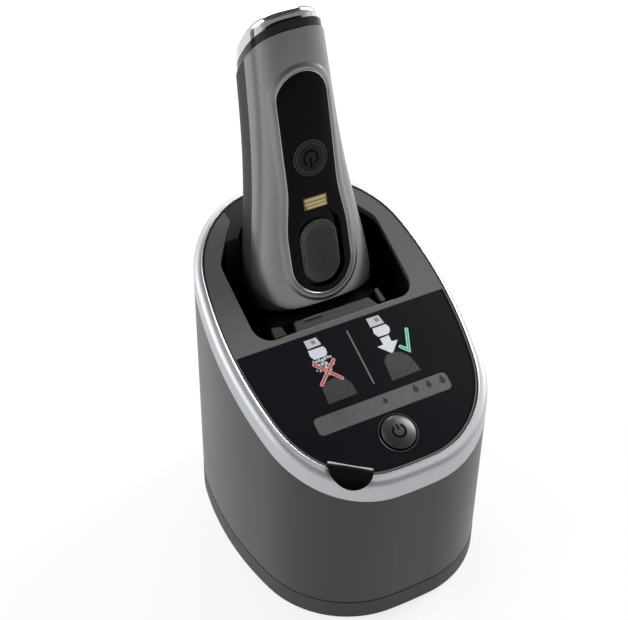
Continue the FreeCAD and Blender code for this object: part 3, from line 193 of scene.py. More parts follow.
# plastics: colour, roughness, grain scale, tone, spread, bump strength and distance, specular level
plastics = {
    "sleeveSatin": ((0.0150, 0.0150, 0.0156), 0.38, 3000, 0.18, 0.08, (0.35, 0.00005), 0.46),
    "collarMatte": ((0.102, 0.101, 0.098), 0.62, 3400, 0.2, 0.06, (0.4, 0.00006)),
    "plinthMatte": ((0.018, 0.018, 0.019), 0.55, 2800, 0.15),
    "panelGloss": ((0.008, 0.008, 0.010), 0.12, 900, 0.1, 0.03, None, 0.4),
    "filmSheet": ((0.0055, 0.0055, 0.0085), 0.30, 1500, 0.25, 0.05, (0.05, 0.00002), 0.15),
    "tabBlack": ((0.001, 0.001, 0.001), 0.40, 1500, 0.2, 0.05, (0.05, 0.00002), 0.08),
    "stripGrey": ((0.098, 0.099, 0.101), 0.42, 420, 0.45, 0.06, (0.1, 0.00003)),
    "buttonMark": ((0.0008, 0.0008, 0.0008), 0.45, 1500, 0.2, 0.05, None, 0.04),
    "bezelGrey": ((0.060, 0.058, 0.057), 0.45, 2600, 0.15),
    "wellBlack": ((0.006, 0.006, 0.006), 0.34, 1800, 0.2, 0.08, (0.2, 0.00004)),
    "innerBlack": ((0.014, 0.014, 0.015), 0.5, 2200, 0.15),
    "ledgeGrey": ((0.034, 0.0335, 0.033), 0.55, 2800, 0.18),
    # darker copy of the ledge grey for the end blocks deeper in the well: painted shade
    "ledgePaintedShade": ((0.022, 0.022, 0.021), 0.55, 2800, 0.18),
    # pale grey for thin strokes along the ledge's lips: painted highlight
    "ledgePaintedHighlight": ((0.150, 0.147, 0.143), 0.50, 2800, 0.18),
    "gripRubber": ((0.009, 0.009, 0.0095), 0.55, 1500, 0.35, 0.1, (0.7, 0.00010), 0.3),
    "inlayGloss": ((0.0010, 0.0010, 0.0011), 0.12, 900, 0.1, 0.02, None, 0.08),
    "powerGloss": ((0.0095, 0.0095, 0.0100), 0.20, 900, 0.1, 0.02, None, 0.14),
    "padGrain": ((0.075, 0.075, 0.077), 0.30, 1500, 0.2, 0.05, (0.1, 0.00003)),
    "padWellBlack": ((0.0010, 0.0010, 0.0011), 0.10, 900, 0.1, 0.02, None, 0.1),
    "tailGloss": ((0.0030, 0.0030, 0.0032), 0.16, 900, 0.1, 0.03, None),
    "tankBlue": ((0.030, 0.085, 0.20), 0.28, 900, 0.1, 0.05, (0.05, 0.00003)),
    "lidPale": ((0.50, 0.52, 0.55), 0.45, 1800, 0.05),
    "filterFoam": ((0.24, 0.24, 0.22), 0.95, 700, 0.8, 0.1, (1.0, 0.0004)),
    "sealRubber": ((0.014, 0.014, 0.014), 0.75, 1200, 0.25, 0.1, (0.5, 0.00008)),
    "solderMask": ((0.010, 0.09, 0.035), 0.30, 500, 0.3, 0.1, (0.2, 0.00005)),
    "lampLens": ((0.75, 0.80, 0.85), 0.20, 900, 0.05),
    "cellWrap": ((0.010, 0.10, 0.06), 0.25, 600, 0.1),
}

# metals: colour, roughness, noise scale along each axis, tone, spread, bump strength and distance, metallic
metals = {
    "ringSatin": ((0.50, 0.512, 0.53), 0.58, (700, 700, 700), 0.08, 0.06, (0.08, 0.00002)),
    "ringPolish": ((0.90, 0.91, 0.93), 0.30, (700, 700, 700), 0.04, 0.04, None),
    "buttonSatin": ((0.095, 0.090, 0.086), 0.38, (600, 600, 4200), 0.5, 0.10, (0.3, 0.00003), 0.8),
    "shellSilver": ((0.235, 0.237, 0.242), 0.30, (1800, 1800, 1800), 0.22, 0.05, (0.05, 0.00002), 0.92),
    "markBrown": ((0.16, 0.11, 0.06), 0.40, (900, 900, 900), 0.1, 0.1, None),
    "markGold": ((0.52, 0.42, 0.22), 0.34, (900, 900, 900), 0.3, 0.1, None),
    "capChrome": ((0.60, 0.61, 0.63), 0.09, (60, 60, 900), 0.04, 0.04, (0.02, 0.00001)),
    "rimSteel": ((0.50, 0.50, 0.51), 0.28, (900, 900, 900), 0.1, 0.05, None),
    "foilSteel": ((0.62, 0.61, 0.60), 0.28, (900, 900, 900), 0.1),
    "drawnSteel": ((0.50, 0.50, 0.51), 0.30, (900, 900, 12)),
    "motorCan": ((0.45, 0.45, 0.46), 0.32, (12, 900, 900)),
    "goldPlate": ((0.78, 0.56, 0.20), 0.25, (900, 900, 900), 0.1),
}

# inks, without a bump: colour, roughness, tone
inks = {
    "inkPale": ((0.60, 0.61, 0.64), 0.45, 0.25),
    "inkWhite": ((0.74, 0.75, 0.82), 0.45, 0.15),
    "inkWindow": ((0.24, 0.24, 0.25), 0.45, 0.25),
    "inkDark": ((0.030, 0.030, 0.031), 0.45, 0.25),
    "inkShade": ((0.016, 0.016, 0.017), 0.45, 0.2),
    "inkLine": ((0.16, 0.16, 0.165), 0.45, 0.2),
    "inkPink": ((0.78, 0.42, 0.42), 0.45, 0.15),
    "inkRed": ((0.48, 0.09, 0.10), 0.45, 0.3),
    "inkMint": ((0.42, 0.78, 0.64), 0.45, 0.15),
    "inkGreen": ((0.10, 0.50, 0.30), 0.45, 0.2),
    "inkBlue": ((0.45, 0.62, 0.72), 0.45, 0.2),
    "inkDrop": ((0.012, 0.012, 0.013), 0.40, 0.2),
    "inkFaint": ((0.060, 0.061, 0.062), 0.40, 0.2),
    # pale grey of the tab's crease tube: a painted highlight on the fold of the black film
    "creaseHighlightGrey": ((0.62, 0.61, 0.61), 0.35, 0.3),
}
looks = {name: plasticLook(name, *values) for name, values in plastics.items()}
looks.update((name, metalLook(name, *values)) for name, values in metals.items())
for name, (colour, roughness, tone) in inks.items():
    looks[name] = plasticLook(name, colour, roughness, 900, tone, 0.05, None)

nodeLooks = {
    "sleeveSatin": ["outer_sleeve", "lift_button"],
    "collarMatte": ["collar"],
    "plinthMatte": ["base_tray"],
    "ringSatin": ["trim_ring"],
    "panelGloss": ["front_panel"],
    "filmSheet": ["protective_film"],
    "tabBlack": ["pull_tab"],
    "stripGrey": ["indicator_window"],
    "buttonSatin": ["clean_button"],
    "bezelGrey": ["button_bezel"],
    "wellBlack": ["well_basin"],
    "ledgeGrey": ["well_ledge"],
    "innerBlack": ["contact_carrier", "inner_frame", "neck_stem", "head_frame", "foil_frame", "power_inlet",
                   "pump_head", "shaver_chassis", "trimmer_slide", "release_button_left",
                   "release_button_right"],
    "tailGloss": ["tail_ring"],
    "shellSilver": ["front_shell"],
    "gripRubber": ["back_shell", "head_lock_pad"],
    "inlayGloss": ["inlay"],
    "powerGloss": ["power_button"],
    "capChrome": ["end_cap"],
    "foilSteel": ["shaving_foils", "cutter_blocks", "middle_trimmer"],
    "drawnSteel": ["guide_columns", "column_screws", "frame_screws", "latch_plate", "lift_springs",
                   "head_axle"],
    "motorCan": ["drive_motor", "pump_motor"],
    "goldPlate": ["contact_pins", "charging_contacts"],
    "tankBlue": ["cartridge_tank"],
    "lidPale": ["cartridge_lid", "intake_tube", "suction_pipe", "delivery_pipe", "clean_switch"],
    "filterFoam": ["cartridge_filter"],
    "sealRubber": ["port_seals", "face_seals", "rubber_feet"],
    "solderMask": ["circuit_board", "shaver_board"],
    "lampLens": ["indicator_leds"],
    "cellWrap": ["battery"],
}
for look, names in nodeLooks.items():
    for name in names:
        nodes[name].data.materials.clear()
        nodes[name].data.materials.append(looks[look])
print("materials on", sum(len(names) for names in nodeLooks.values()), "nodes")


def gridQuads(rows, columns, closed=False):
    # the quads of a grid of points, row after row
    r = np.arange(rows - 1)[:, None]
    c = np.arange(columns if closed else columns - 1)[None, :]
    after = (c + 1) % columns
    return np.stack([r * columns + c, r * columns + after, (r + 1) * columns + after,
                     (r + 1) * columns + c], -1).reshape(-1, 4)


def finishPiece(name, mesh, material, body, sharp, weld, turn=True):
    # welds seams and poles, turns the faces outwards, shades smooth up to the sharp angle
    work = bmesh.new()
    work.from_mesh(mesh)
    bmesh.ops.remove_doubles(work, verts=work.verts, dist=weld)
    bmesh.ops.dissolve_degenerate(work, edges=work.edges, dist=1e-7)
    if turn:
        bmesh.ops.recalc_face_normals(work, faces=work.faces)
    work.to_mesh(mesh)
    work.free()
    mesh.polygons.foreach_set("use_smooth", np.ones(len(mesh.polygons), bool))
    mesh.set_sharp_from_angle(angle=math.radians(sharp))
    mesh.materials.append(looks[material])
    piece = bpy.data.objects.new(name, mesh)
    scene.collection.objects.link(piece)
    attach(piece, body)
    return piece


def gridPiece(name, grids, material, body, closed=False, sharp=35.0, weld=2e-6):
    # one piece from one or more grids of points, each (rows, columns, 3)
    points, quads, start = [], [], 0
    for grid in grids:
        rows, columns = grid.shape[:2]
        points.append(grid.reshape(-1, 3))
        quads.append(gridQuads(rows, columns, closed) + start)
        start += rows * columns
    mesh = bpy.data.meshes.new(name)
    mesh.from_pydata(np.concatenate(points).tolist(), [], np.concatenate(quads).tolist())
    return finishPiece(name, mesh, material, body, sharp, weld)


def smoothStep(low, high, value):
    t = np.clip((value - low) / (high - low), 0, 1)
    return t * t * (3 - 2 * t)


def inkLayer(name, outlines, place, material, body, lift, thick=0.00004):
    # a thin closed layer per closed line of plan points: an upper face, a lower face and a wall
    points, faces, start = [], [], 0
    for outline in outlines:
        flat = np.asarray(outline, float)
        count = len(flat)
        if np.sum(flat[:, 0] * np.roll(flat[:, 1], -1) - np.roll(flat[:, 0], -1) * flat[:, 1]) < 0:
            flat = flat[::-1]
        points += [place(flat, lift), place(flat, lift + thick)]
        around = np.arange(count)
        after = (around + 1) % count
        faces.append((start + around[::-1]).tolist())
        faces.append((start + count + around).tolist())
        walls = np.stack([start + around, start + after, start + count + after, start + count + around], -1)
        faces += walls.tolist()
        start += 2 * count
    mesh = bpy.data.meshes.new(name)
    mesh.from_pydata(np.concatenate(points).tolist(), [], faces)
    return finishPiece(name, mesh, material, body, 20.0, 1e-7, False)


def stroke(path, width):
    # closed outline of a line of the given width: its left side, a round end, its right side, a round end
    p = np.asarray(path, float)
    step = np.diff(p, axis=0)
    step /= np.linalg.norm(step, axis=1, keepdims=True)
    tangent = np.concatenate([step[:1], (step[:-1] + step[1:]) / 2, step[-1:]])
    length = np.linalg.norm(tangent, axis=1, keepdims=True)
    normal = np.stack([-tangent[:, 1], tangent[:, 0]], -1) / length ** 2
    turn = np.linspace(0, math.pi, 8)[:, None]

    def cap(centre, direction):
        side = np.array([-direction[1], direction[0]])
        return centre + width / 2 * (np.cos(turn) * side + np.sin(turn) * direction)

    return np.concatenate([p[:1] + normal[:1] * width / 2, (p + normal * width / 2)[1:-1],
                           cap(p[-1], step[-1]), (p - normal * width / 2)[1:-1][::-1], cap(p[0], -step[0])])


def bow(start, middle, end):
    # arc-like line through three points: a parabola
    t = np.linspace(0, 1, 12)[:, None]
    a, b, c = (np.asarray(v, float) for v in (start, middle, end))
    return a * (1 - t) * (1 - 2 * t) + b * 4 * t * (1 - t) + c * t * (2 * t - 1)


def onLevel(drop):
    # a place function for inkLayer: plan millimetres at a drop in metres under the sloping top
    def place(flat, lift):
        return onTop(fromPlan(flat[:, 0] / 1000, flat[:, 1] / 1000, lift - drop))
    return place


levels = {"panelDrop": 0.0005, "filmThick": 0.00025, "windowProud": 0.00025}
onSlope = onLevel(0.0)
onFilm = onLevel((levels["panelDrop"] - levels["filmThick"]) * math.cos(slope))
onWindow = onLevel(levels["panelDrop"] * math.cos(slope) - levels["windowProud"])

def bubbles(*rings):
    # circles from their x, y and radius
    turn = np.linspace(0, 2 * math.pi, 12, endpoint=False)
    return [np.stack([x + r * np.cos(turn), y + r * np.sin(turn)], -1) for x, y, r in rings]


# signs on the film in the order of drawing: name, ink, lift in metres, outlines in plan millimetres. Left a
# soapy head over its basin, crossed out; right a clean head going down into its basin, ticked
cross = ([(-20.9, -14.5), (-11.9, -23.5)], [(-11.7, -15.2), (-21.8, -23.4)])
tick = [(19.5, -19.4), (22.3, -21.9), (26.0, -13.3)]
signs = (
    ("sign_heads", "inkPale", 0.0, [
        [(-20.3, -3.8), (-14.3, -3.8), (-13.4, -7.3), (-20.2, -7.5)],
        [(11.0, -3.4), (17.1, -3.5), (17.9, -7.5), (11.0, -7.5)]]),
    ("sign_head_windows", "inkWindow", 0.00005, [
        [(-17.6, -4.6), (-15.6, -4.7), (-15.4, -6.2), (-17.4, -6.4)],
        [(14.2, -4.2), (16.2, -4.3), (16.4, -5.9), (14.4, -6.1)]]),
    ("sign_cassettes", "inkWhite", 0.0, [
        [(-20.4, -8.2), (-13.1, -8.3), (-12.5, -9.6), (-12.7, -11.4), (-13.9, -12.5), (-19.6, -12.6),
         (-20.7, -10.6)],
        [(11.6, -8.2), (18.3, -8.2), (19.1, -10.0), (18.6, -11.6), (17.4, -12.5), (12.3, -12.4),
         (11.1, -10.4)]]),
    ("sign_arrow", "inkWhite", 0.0, [
        [(12.5, -13.3), (17.0, -13.1), (16.9, -16.0), (19.9, -16.2), (14.7, -21.0), (9.6, -16.3),
         (12.6, -16.1)]]),
    ("sign_basins", "inkDark", 0.0, [
        [(-22.8, -31.8), (-8.7, -31.5), (-9.0, -26.7), (-10.9, -23.6), (-15.0, -22.3), (-19.3, -22.8),
         (-22.3, -24.9)],
        [(8.6, -31.7), (22.9, -31.4), (22.3, -28.0), (21.0, -24.0), (18.4, -21.5), (15.0, -20.5),
         (11.6, -20.8), (9.2, -23.2)]]),
    ("sign_basin_lips", "inkShade", 0.00005, [
        stroke(bow((-21.2, -27.6), (-15.6, -30.3), (-10.3, -27.0)), 0.45),
        stroke(bow((10.2, -27.4), (15.8, -30.0), (21.2, -26.8)), 0.45)]),
    ("sign_divider", "inkLine", 0.0, [stroke([(0.2, -5.6), (0.2, -30.0)], 0.7)]),
    ("sign_foam_0", "inkPale", 0.00005, bubbles(
        (-20.4, -13.2, 0.45), (-19.2, -13.7, 0.6), (-14.9, -13.4, 0.7), (-13.4, -13.2, 0.6),
        (-12.2, -13.4, 0.5), (-15.4, -15.5, 0.8), (-18.8, -15.2, 0.6), (-16.2, -16.9, 0.7),
        (-20.7, -17.2, 0.4), (-19.4, -17.9, 0.4), (-17.6, -19.4, 0.5), (-14.6, -18.6, 0.5))),
    ("sign_foam_1", "inkBlue", 0.00007, bubbles(
        (-17.8, -13.5, 0.7), (-16.3, -13.9, 0.8), (-17.2, -15.3, 0.8), (-14.3, -16.4, 0.5))),
    ("sign_foam_2", "inkMint", 0.00009, bubbles((-12.4, -16.6, 0.5))),
    ("sign_foam_3", "inkPink", 0.00011, bubbles((-16.2, -20.4, 0.4))),
    ("sign_cross_edge", "inkPink", 0.00015, [stroke(cross[0], 1.55)]),
    ("sign_cross", "inkRed", 0.0002, [stroke(cross[0], 0.85)]),
    ("sign_cross_two_edge", "inkPink", 0.00025, [stroke(cross[1], 1.55)]),
    ("sign_cross_two", "inkRed", 0.0003, [stroke(cross[1], 0.85)]),
    ("sign_tick_edge", "inkMint", 0.00005, [stroke(tick, 1.6)]),
    ("sign_tick", "inkGreen", 0.0001, [stroke(tick, 0.8)]),
)


def makeSigns():
    for name, ink, lift, outlines in signs:
        inkLayer(name, outlines, onFilm, ink, "housing", lift)


# signs of the indicator strip in plan millimetres: drops (x, y, size) and a plain box for the tank
strip = {"drops": ((1.1, -38.5, 1.1), (16.4, -38.3, 1.35), (23.0, -38.4, 1.35), (29.8, -38.6, 1.5)),
         "width": 0.95, "waist": 0.35, "tip": 0.75, "line": 0.35,
         "tank": ([(-23.5, -36.5), (-18.2, -36.5)], [(-23.6, -40.2), (-18.2, -40.2)],
                  [(-23.6, -37.0), (-23.6, -39.7)], [(-18.2, -36.9), (-18.2, -39.7)],
                  [(-22.2, -38.3), (-19.6, -38.3)])}


def makeDrops():
    # drop outline: a circle whose upper half narrows and is drawn out to a point up the slope
    turn = np.linspace(-math.pi / 2, 1.5 * math.pi, 28, endpoint=False)
    upper = np.clip(np.sin(turn), 0, 1)
    shape = np.stack([strip["width"] * np.cos(turn) * (1 - strip["waist"] * upper ** 2),
                      np.sin(turn) * (1 + strip["tip"] * upper ** 6)], -1)
    drops = [shape * size + np.array([x, y]) for x, y, size in strip["drops"]]
    inkLayer("strip_drops", drops, onWindow, "inkDrop", "housing", 0.0)
    mark = [stroke(path, strip["line"]) for path in strip["tank"]]
    inkLayer("strip_tank_mark", mark, onWindow, "inkFaint", "housing", 0.0)


# ledge inside the well's front lip, a bar with a catch slot and a short block at either end: name, look,
# lift and thickness in metres, outlines in plan millimetres. The slot is a thin black sheet of painted shade,
# the pale strokes along the slot's lip and the well's front lip are painted highlights, and the end blocks
# take a darker copy of the bar's grey as painted shade
ledge = (
    ("well_ledge_bar", "ledgeGrey", -0.0034, 0.0022, [[(-20.4, 1.0), (20.2, 1.0), (17.2, 5.6), (-19.4, 5.6)]]),
    # thin black sheet on the bar's top: the slot's opening as painted shade
    ("well_ledge_slot_painted_shade", "wellBlack", -0.0012, 0.00005, [
        [(-15.0, 3.8), (-6.9, 3.8), (-6.7, 5.0), (-14.8, 5.0)]]),
    # pale strokes along the slot's lip and the well's front lip: painted highlights
    ("ledge_slot_lip_painted_highlight", "ledgePaintedHighlight", -0.0012, 0.0002, [stroke([(-14.7, 5.3), (-6.7, 5.3)], 0.35)]),
    ("well_front_lip_painted_highlight", "ledgePaintedHighlight", -0.00022, 0.00006, [stroke([(-27.0, 0.55), (27.0, 0.55)], 0.5)]),
    # end blocks in the darker copy of the bar's grey: painted shade
    ("well_ledge_blocks", "ledgePaintedShade", -0.0052, 0.0022, [
        [(-30.2, 2.4), (-24.6, 2.2), (-25.4, 6.2), (-29.8, 7.0)],
        [(22.8, 2.6), (25.2, 2.6), (24.4, 8.8), (22.8, 8.8)]]),
)


def makeLedge():
    # prisms under the slope: a plan outline at the upper level, the same one at the lower level, and a wall
    pieces = [inkLayer(name, outlines, onSlope, look, "housing", lift, thick)
              for name, look, lift, thick, outlines in ledge]
    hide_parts("well_ledge")


# clean button in metres: a dome on a hollow skirt with a stem, engraved with an open ring and a bar; pairs
# are where a soft edge starts and ends
cleanButton = {"y": -0.0521, "radius": 0.0076, "edge": 0.0003, "dome": 0.0010, "fall": 0.0004, "power": 3.2,
               "fineRadius": 0.0048, "shoulder": 0.0004, "skirt": 0.0042, "wall": 0.0014, "web": 0.0016,
               "stem": 0.002, "engraved": 0.00030, "ringRadius": 0.00275, "stroke": (0.000551, 0.00038),
               "opening": (0.52, 0.68), "barFoot": (0.0003, 0.0006), "barTop": (0.0034, 0.0031)}
buttonCentre = np.array([0, cleanButton["y"] / math.cos(slope), 0])


def powerMask(x, y):
    # one inside the strokes of a ring open at its top with a bar through the opening, zero outside
    b = cleanButton
    ring = smoothStep(*b["stroke"], np.abs(np.hypot(x, y) - b["ringRadius"]))
    ring = ring * smoothStep(*b["opening"], np.abs(np.arctan2(x, y)))
    bar = smoothStep(*b["stroke"], np.abs(x)) * smoothStep(*b["barFoot"], y) * smoothStep(*b["barTop"], y)
    return np.maximum(ring, bar)


def faceCentres(piece):
    # the centres of a piece's faces from the button's own: across, up the slope, out of it
    centres = np.empty(3 * len(piece.data.polygons))
    piece.data.polygons.foreach_get("center", centres)
    x, y, z = (centres.reshape(-1, 3) - onTop(buttonCentre)).T
    c, s = math.cos(slope), math.sin(slope)
    return x, y * c + z * s, z * c - y * s


def makeCleanButton():
    # height over the disc: crown minus a power of the radius, minus the engraving; then rings down and inwards
    b = cleanButton
    inner = np.linspace(0, b["fineRadius"], 84)
    outer = b["fineRadius"] + (b["radius"] - b["fineRadius"]) * np.sin(np.linspace(0, math.pi / 2, 16))[1:]
    r = np.concatenate([inner, outer])[:, None]
    angle = np.linspace(0, 2 * math.pi, 200, endpoint=False)
    x, y = r * np.cos(angle), r * np.sin(angle)
    crown = b["edge"] + b["dome"] - (b["dome"] + b["fall"]) * (r / b["radius"]) ** b["power"]
    top = np.stack([x, y, crown - b["engraved"] * powerMask(x, y)], -1)
    bore = b["radius"] - b["wall"]
    under = np.array([(b["radius"], -b["shoulder"]), (b["radius"], -b["skirt"]), (bore, -b["skirt"]),
                      (bore, -b["web"]), (b["stem"], -b["web"]), (b["stem"], -b["skirt"]), (0, -b["skirt"])])
    radius, height = under[:, :1], under[:, 1:]
    rings = np.stack([radius * np.cos(angle), radius * np.sin(angle), height + 0 * angle], -1)
    grid = np.concatenate([top, rings]) + buttonCentre
    piece = gridPiece("clean_button_cap", [onTop(grid)], "buttonSatin", "clean_button", closed=True, sharp=40)
    piece.data.materials.append(looks["buttonMark"])
    across, up, level = faceCentres(piece)
    # the engraved faces on the top take the near-black second colour
    engravedFaces = (powerMask(across, up) > 0.5) & (level > 0)
    piece.data.polygons.foreach_set("material_index", engravedFaces.astype(np.int32))
    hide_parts("clean_button")


# turned ring round the button: radius and height in millimetres of a flat black flange, a dish that falls
# towards the button, and a sleeve down to the board; glossy is the radius where the panel's look starts
bezel = {"profile": ((9.44, -14.0), (9.44, -0.25), (8.95, -0.25), (8.85, -0.30), (8.20, -1.4), (8.05, -1.7),
                     (8.05, -14.0), (9.44, -14.0)), "glossy": 8.91}


def makeBezel():
    # the profile carried round a full turn
    profile = np.array(bezel["profile"]) / 1000
    angle = np.linspace(0, 2 * math.pi, 144, endpoint=False)
    x, y = profile[:, :1] * np.cos(angle), profile[:, :1] * np.sin(angle)
    grid = np.stack([x, y, profile[:, 1:] + 0 * angle], -1) + buttonCentre
    piece = gridPiece("button_bezel_ring", [onTop(grid)], "bezelGrey", "housing", closed=True)
    piece.data.materials.append(looks["panelGloss"])
    across, up, _ = faceCentres(piece)
    glossy = np.hypot(across, up) > bezel["glossy"] / 1000
    piece.data.polygons.foreach_set("material_index", glossy.astype(np.int32))
    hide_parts("button_bezel")


# pull tab in metres, degrees and shares of its radius: half disc that rises from its crease and droops
# over the ring
tab = {"radius": 0.0098, "inset": 0.0074, "angle": 241.2, "thick": 0.00028, "sink": 0.00018, "rise": 0.00075,
       "riseEnd": 0.12, "droop": 0.0008, "droopStart": 0.55, "crease": 0.00028, "creaseFlare": 0.00026,
       "creaseLift": 0.00060}


def ovalPoint(direction, inset):
    # the housing's outline by the direction of its normal: the centre of its arc plus the arc's radius
    side, end = math.radians(station["sideTurn"]), math.radians(station["endTurn"])
    radius = station["halfWidth"] - station["endFlat"]
    straight = station["halfDepth"] - radius
    back = (1 - math.cos(end)) / math.sin(end)
    u = (straight - back * station["endFlat"]) / (math.sin(side) - (1 - math.cos(side)) * back)
    v = (station["endFlat"] - u * (1 - math.cos(side))) / math.sin(end)
    c, s = np.cos(direction), np.sin(direction)
    fold = np.arctan2(np.abs(s), np.abs(c))
    shift = np.where(fold < side, u, np.where(fold > math.pi / 2 - end, v, 0.0))
    sx = np.where(fold < side, math.cos(side), math.sin(end)) * shift
    sy = np.where(fold < side, math.sin(side), math.cos(end)) * shift
    x = np.copysign(v * math.sin(end) - sx + (radius + shift - inset) * np.abs(c), c)
    y = np.copysign(u * math.sin(side) - sy + (radius + shift - inset) * np.abs(s), s)
    return x, y


def ovalDirections():
    # directions that space the outline's points evenly enough: more of them along the long side arcs
    side, end = station["sideTurn"], 90 - station["endTurn"]
    quarter = np.concatenate([np.linspace(start, stop, count, endpoint=False)
                              for start, stop, count in ((0, side, 42), (side, end, 102), (end, 90, 15))])
    return np.radians(np.concatenate([quarter, 180 - quarter[::-1], 180 + quarter, 360 - quarter[::-1]]))


def makeTab():
    # half disc in polar form; its height climbs from the film near the crease and falls beyond the ring's crown
    turn = math.radians(tab["angle"])
    c, s = math.cos(turn), math.sin(turn)
    cx, cy = ovalPoint(turn, tab["inset"])
    rho = np.linspace(0, 1, 40)[:, None]
    theta = np.linspace(0, math.pi, 72)[None, :]
    along, out = tab["radius"] * rho * np.cos(theta), tab["radius"] * rho * np.sin(theta)
    share = out / tab["radius"]
    fall = np.clip((share - tab["droopStart"]) / (1 - tab["droopStart"]), 0, 1) ** 2
    height = -tab["sink"] + tab["rise"] * smoothStep(0.0, tab["riseEnd"], share) - tab["droop"] * fall
    px, py = cx + out * c + along * s, cy + out * s - along * c
    lower, upper = (onTop(fromPlan(px, py, height + lift)) for lift in (0.0, tab["thick"]))
    edge = np.stack([upper[-1], lower[-1]])
    chord = np.stack([np.concatenate([face[::-1, 0], face[1:, -1]]) for face in (upper, lower)])
    piece = gridPiece("pull_tab_bent", [upper, lower, edge, chord], "tabBlack", "housing", sharp=50)
    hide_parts("pull_tab")
    # crease: a round tube along the chord, a little thicker towards its ends and closed there; its pale grey is
    # a painted highlight on the fold of the black film
    t = np.linspace(-1, 1, 60)[:, None]
    around = np.linspace(0, 2 * math.pi, 12, endpoint=False)[None, :]
    thick = (tab["crease"] + tab["creaseFlare"] * t ** 2) * np.sqrt(np.clip(1 - t ** 12, 0, 1))
    bx = cx + tab["radius"] * t * s + thick * np.cos(around) * c
    by = cy - tab["radius"] * t * c + thick * np.cos(around) * s
    tube = onTop(fromPlan(bx, by, tab["creaseLift"] + thick * np.sin(around)))
    gridPiece("pull_tab_crease_highlight", [tube], "creaseHighlightGrey", "housing", closed=True)


# bright bead on the ring's inner edge, in metres
ringBead = {"inset": 0.0040, "radius": 0.00034, "drop": 0.00012}


def makeRingBead():
    # round tube along the outline moved inwards; its circle stands across the outline
    turn = np.linspace(0, 2 * math.pi, 14, endpoint=False)
    turn = np.append(turn, turn[:1])[:, None]
    x, y = ovalPoint(ovalDirections()[None, :], ringBead["inset"] + ringBead["radius"] * np.cos(turn))
    z = topZ(y) - ringBead["drop"] + ringBead["radius"] * np.sin(turn)
    piece = gridPiece("ring_inner_bead", [np.stack([x, y, z], -1)], "ringPolish", "housing", closed=True)


frontWay = docked([0, -1, 0]) - docked([0, 0, 0])
castFrom = 0.06


def castFront(name, x, s):
    # points of a node's face seen from the shaver's front, for millimetres x across and s along its own frame
    node = nodes[name]
    inward = node.matrix_world.inverted()
    way = (inward.to_3x3() @ Vector(-frontWay)).normalized()
    starts = docked(np.stack([x / 1000, np.full(np.shape(x), -castFrom), s / 1000], -1))
    hits = []
    for start in starts.reshape(-1, 3):
        found, place, _, _ = node.ray_cast(inward @ Vector(start), way)
        hits.append(node.matrix_world @ place if found else (math.nan, 0, 0))
    hits = np.array(hits).reshape(starts.shape)
    if np.isnan(hits).any():
        print("missed", name, int(np.isnan(hits[..., 0]).sum()))
    return hits


def onFront(name):
    # a place function for inkLayer: millimetres x, s on the named node, lifted towards the front
    def place(flat, lift):
        return castFront(name, flat[:, 0], flat[:, 1]) + frontWay * lift
    return place


# the inlay's outline in millimetres of the shaver's own frame
inlayForm = {"halfWidth": 11.8, "foot": 14.5, "flareTop": 56.0, "flareFoot": 30.0, "top": 105.1, "bottom": 4.1}


def inlayEdge():
    # top half circle, straight side, S-shaped flare, straight foot, bottom half circle; then the normals
    f = inlayForm
    up = np.linspace(0, math.pi / 2, 40)
    centre, low = f["top"] - f["halfWidth"], f["bottom"] + f["foot"]
    flare = np.linspace(f["flareTop"], f["flareFoot"], 30)
    share = smoothStep(0, 1, (f["flareTop"] - flare) / (f["flareTop"] - f["flareFoot"]))
    side = np.linspace(centre, f["flareTop"], 30, endpoint=False)
    x = np.concatenate([f["halfWidth"] * np.sin(up[:-1]), np.full(30, f["halfWidth"]),
                        f["halfWidth"] + (f["foot"] - f["halfWidth"]) * share,
                        f["foot"] * np.ones(8), f["foot"] * np.cos(up[1:])])
    s = np.concatenate([centre + f["halfWidth"] * np.cos(up[:-1]), side, flare,
                        np.linspace(f["flareFoot"], low, 9)[1:], low - f["foot"] * np.sin(up[1:])])
    x, s = np.concatenate([x, -x[-2:0:-1]]), np.concatenate([s, s[-2:0:-1]])
    dx, ds = np.roll(x, -1) - np.roll(x, 1), np.roll(s, -1) - np.roll(s, 1)
    step = np.hypot(dx, ds)
    return x, s, -ds / step, dx / step


# swell of the shell round the inlay, in millimetres
lip = {"start": 0.15, "reach": 3.9, "height": 0.62, "sink": 0.5, "edge": 0.06, "lean": 0.8, "peak": 1.4}


def makeInlayLip():
    # its height is a raised sine over the distance from the inlay's edge
    x, s, nx, ns = inlayEdge()
    out = np.linspace(0, 1, 13)[:, None]
    reach = lip["start"] + (lip["reach"] - lip["start"]) * out
    face = castFront("front_shell", x + nx * reach, s + ns * reach)
    swell = (lip["height"] * np.sin(math.pi * out ** lip["lean"]) ** lip["peak"] - lip["edge"]) / 1000
    upper = face + frontWay * swell[..., None]
    lower = face[[-1, 0]] - frontWay * lip["sink"] / 1000
    grid = np.concatenate([upper, lower, upper[:1]])
    piece = gridPiece("inlay_lip", [grid], "shellSilver", "shaver", closed=True, sharp=70)


# bright bead along the inlay's edge, in millimetres; the face is cast a little outside, where there is shell
rim = {"reach": 0.1, "cast": 0.3, "radius": 0.24, "sink": 0.05}


def makeInlayRim():
    # fine tube: a circle carried along the inlay's edge
    x, s, nx, ns = inlayEdge()
    outside = rim["reach"] + rim["cast"]
    face = castFront("front_shell", x + nx * outside, s + ns * outside)
    across = np.stack([nx, 0 * nx, ns], -1)
    outward = docked(across) - docked(0 * across)
    turn = np.linspace(0, 2 * math.pi, 10)[:, None, None]
    circle = rim["radius"] * (np.cos(turn) * outward + np.sin(turn) * frontWay)
    circle = circle - rim["sink"] * frontWay - rim["cast"] * outward
    piece = gridPiece("inlay_rim", [face + circle / 1000], "rimSteel", "shaver", closed=True)


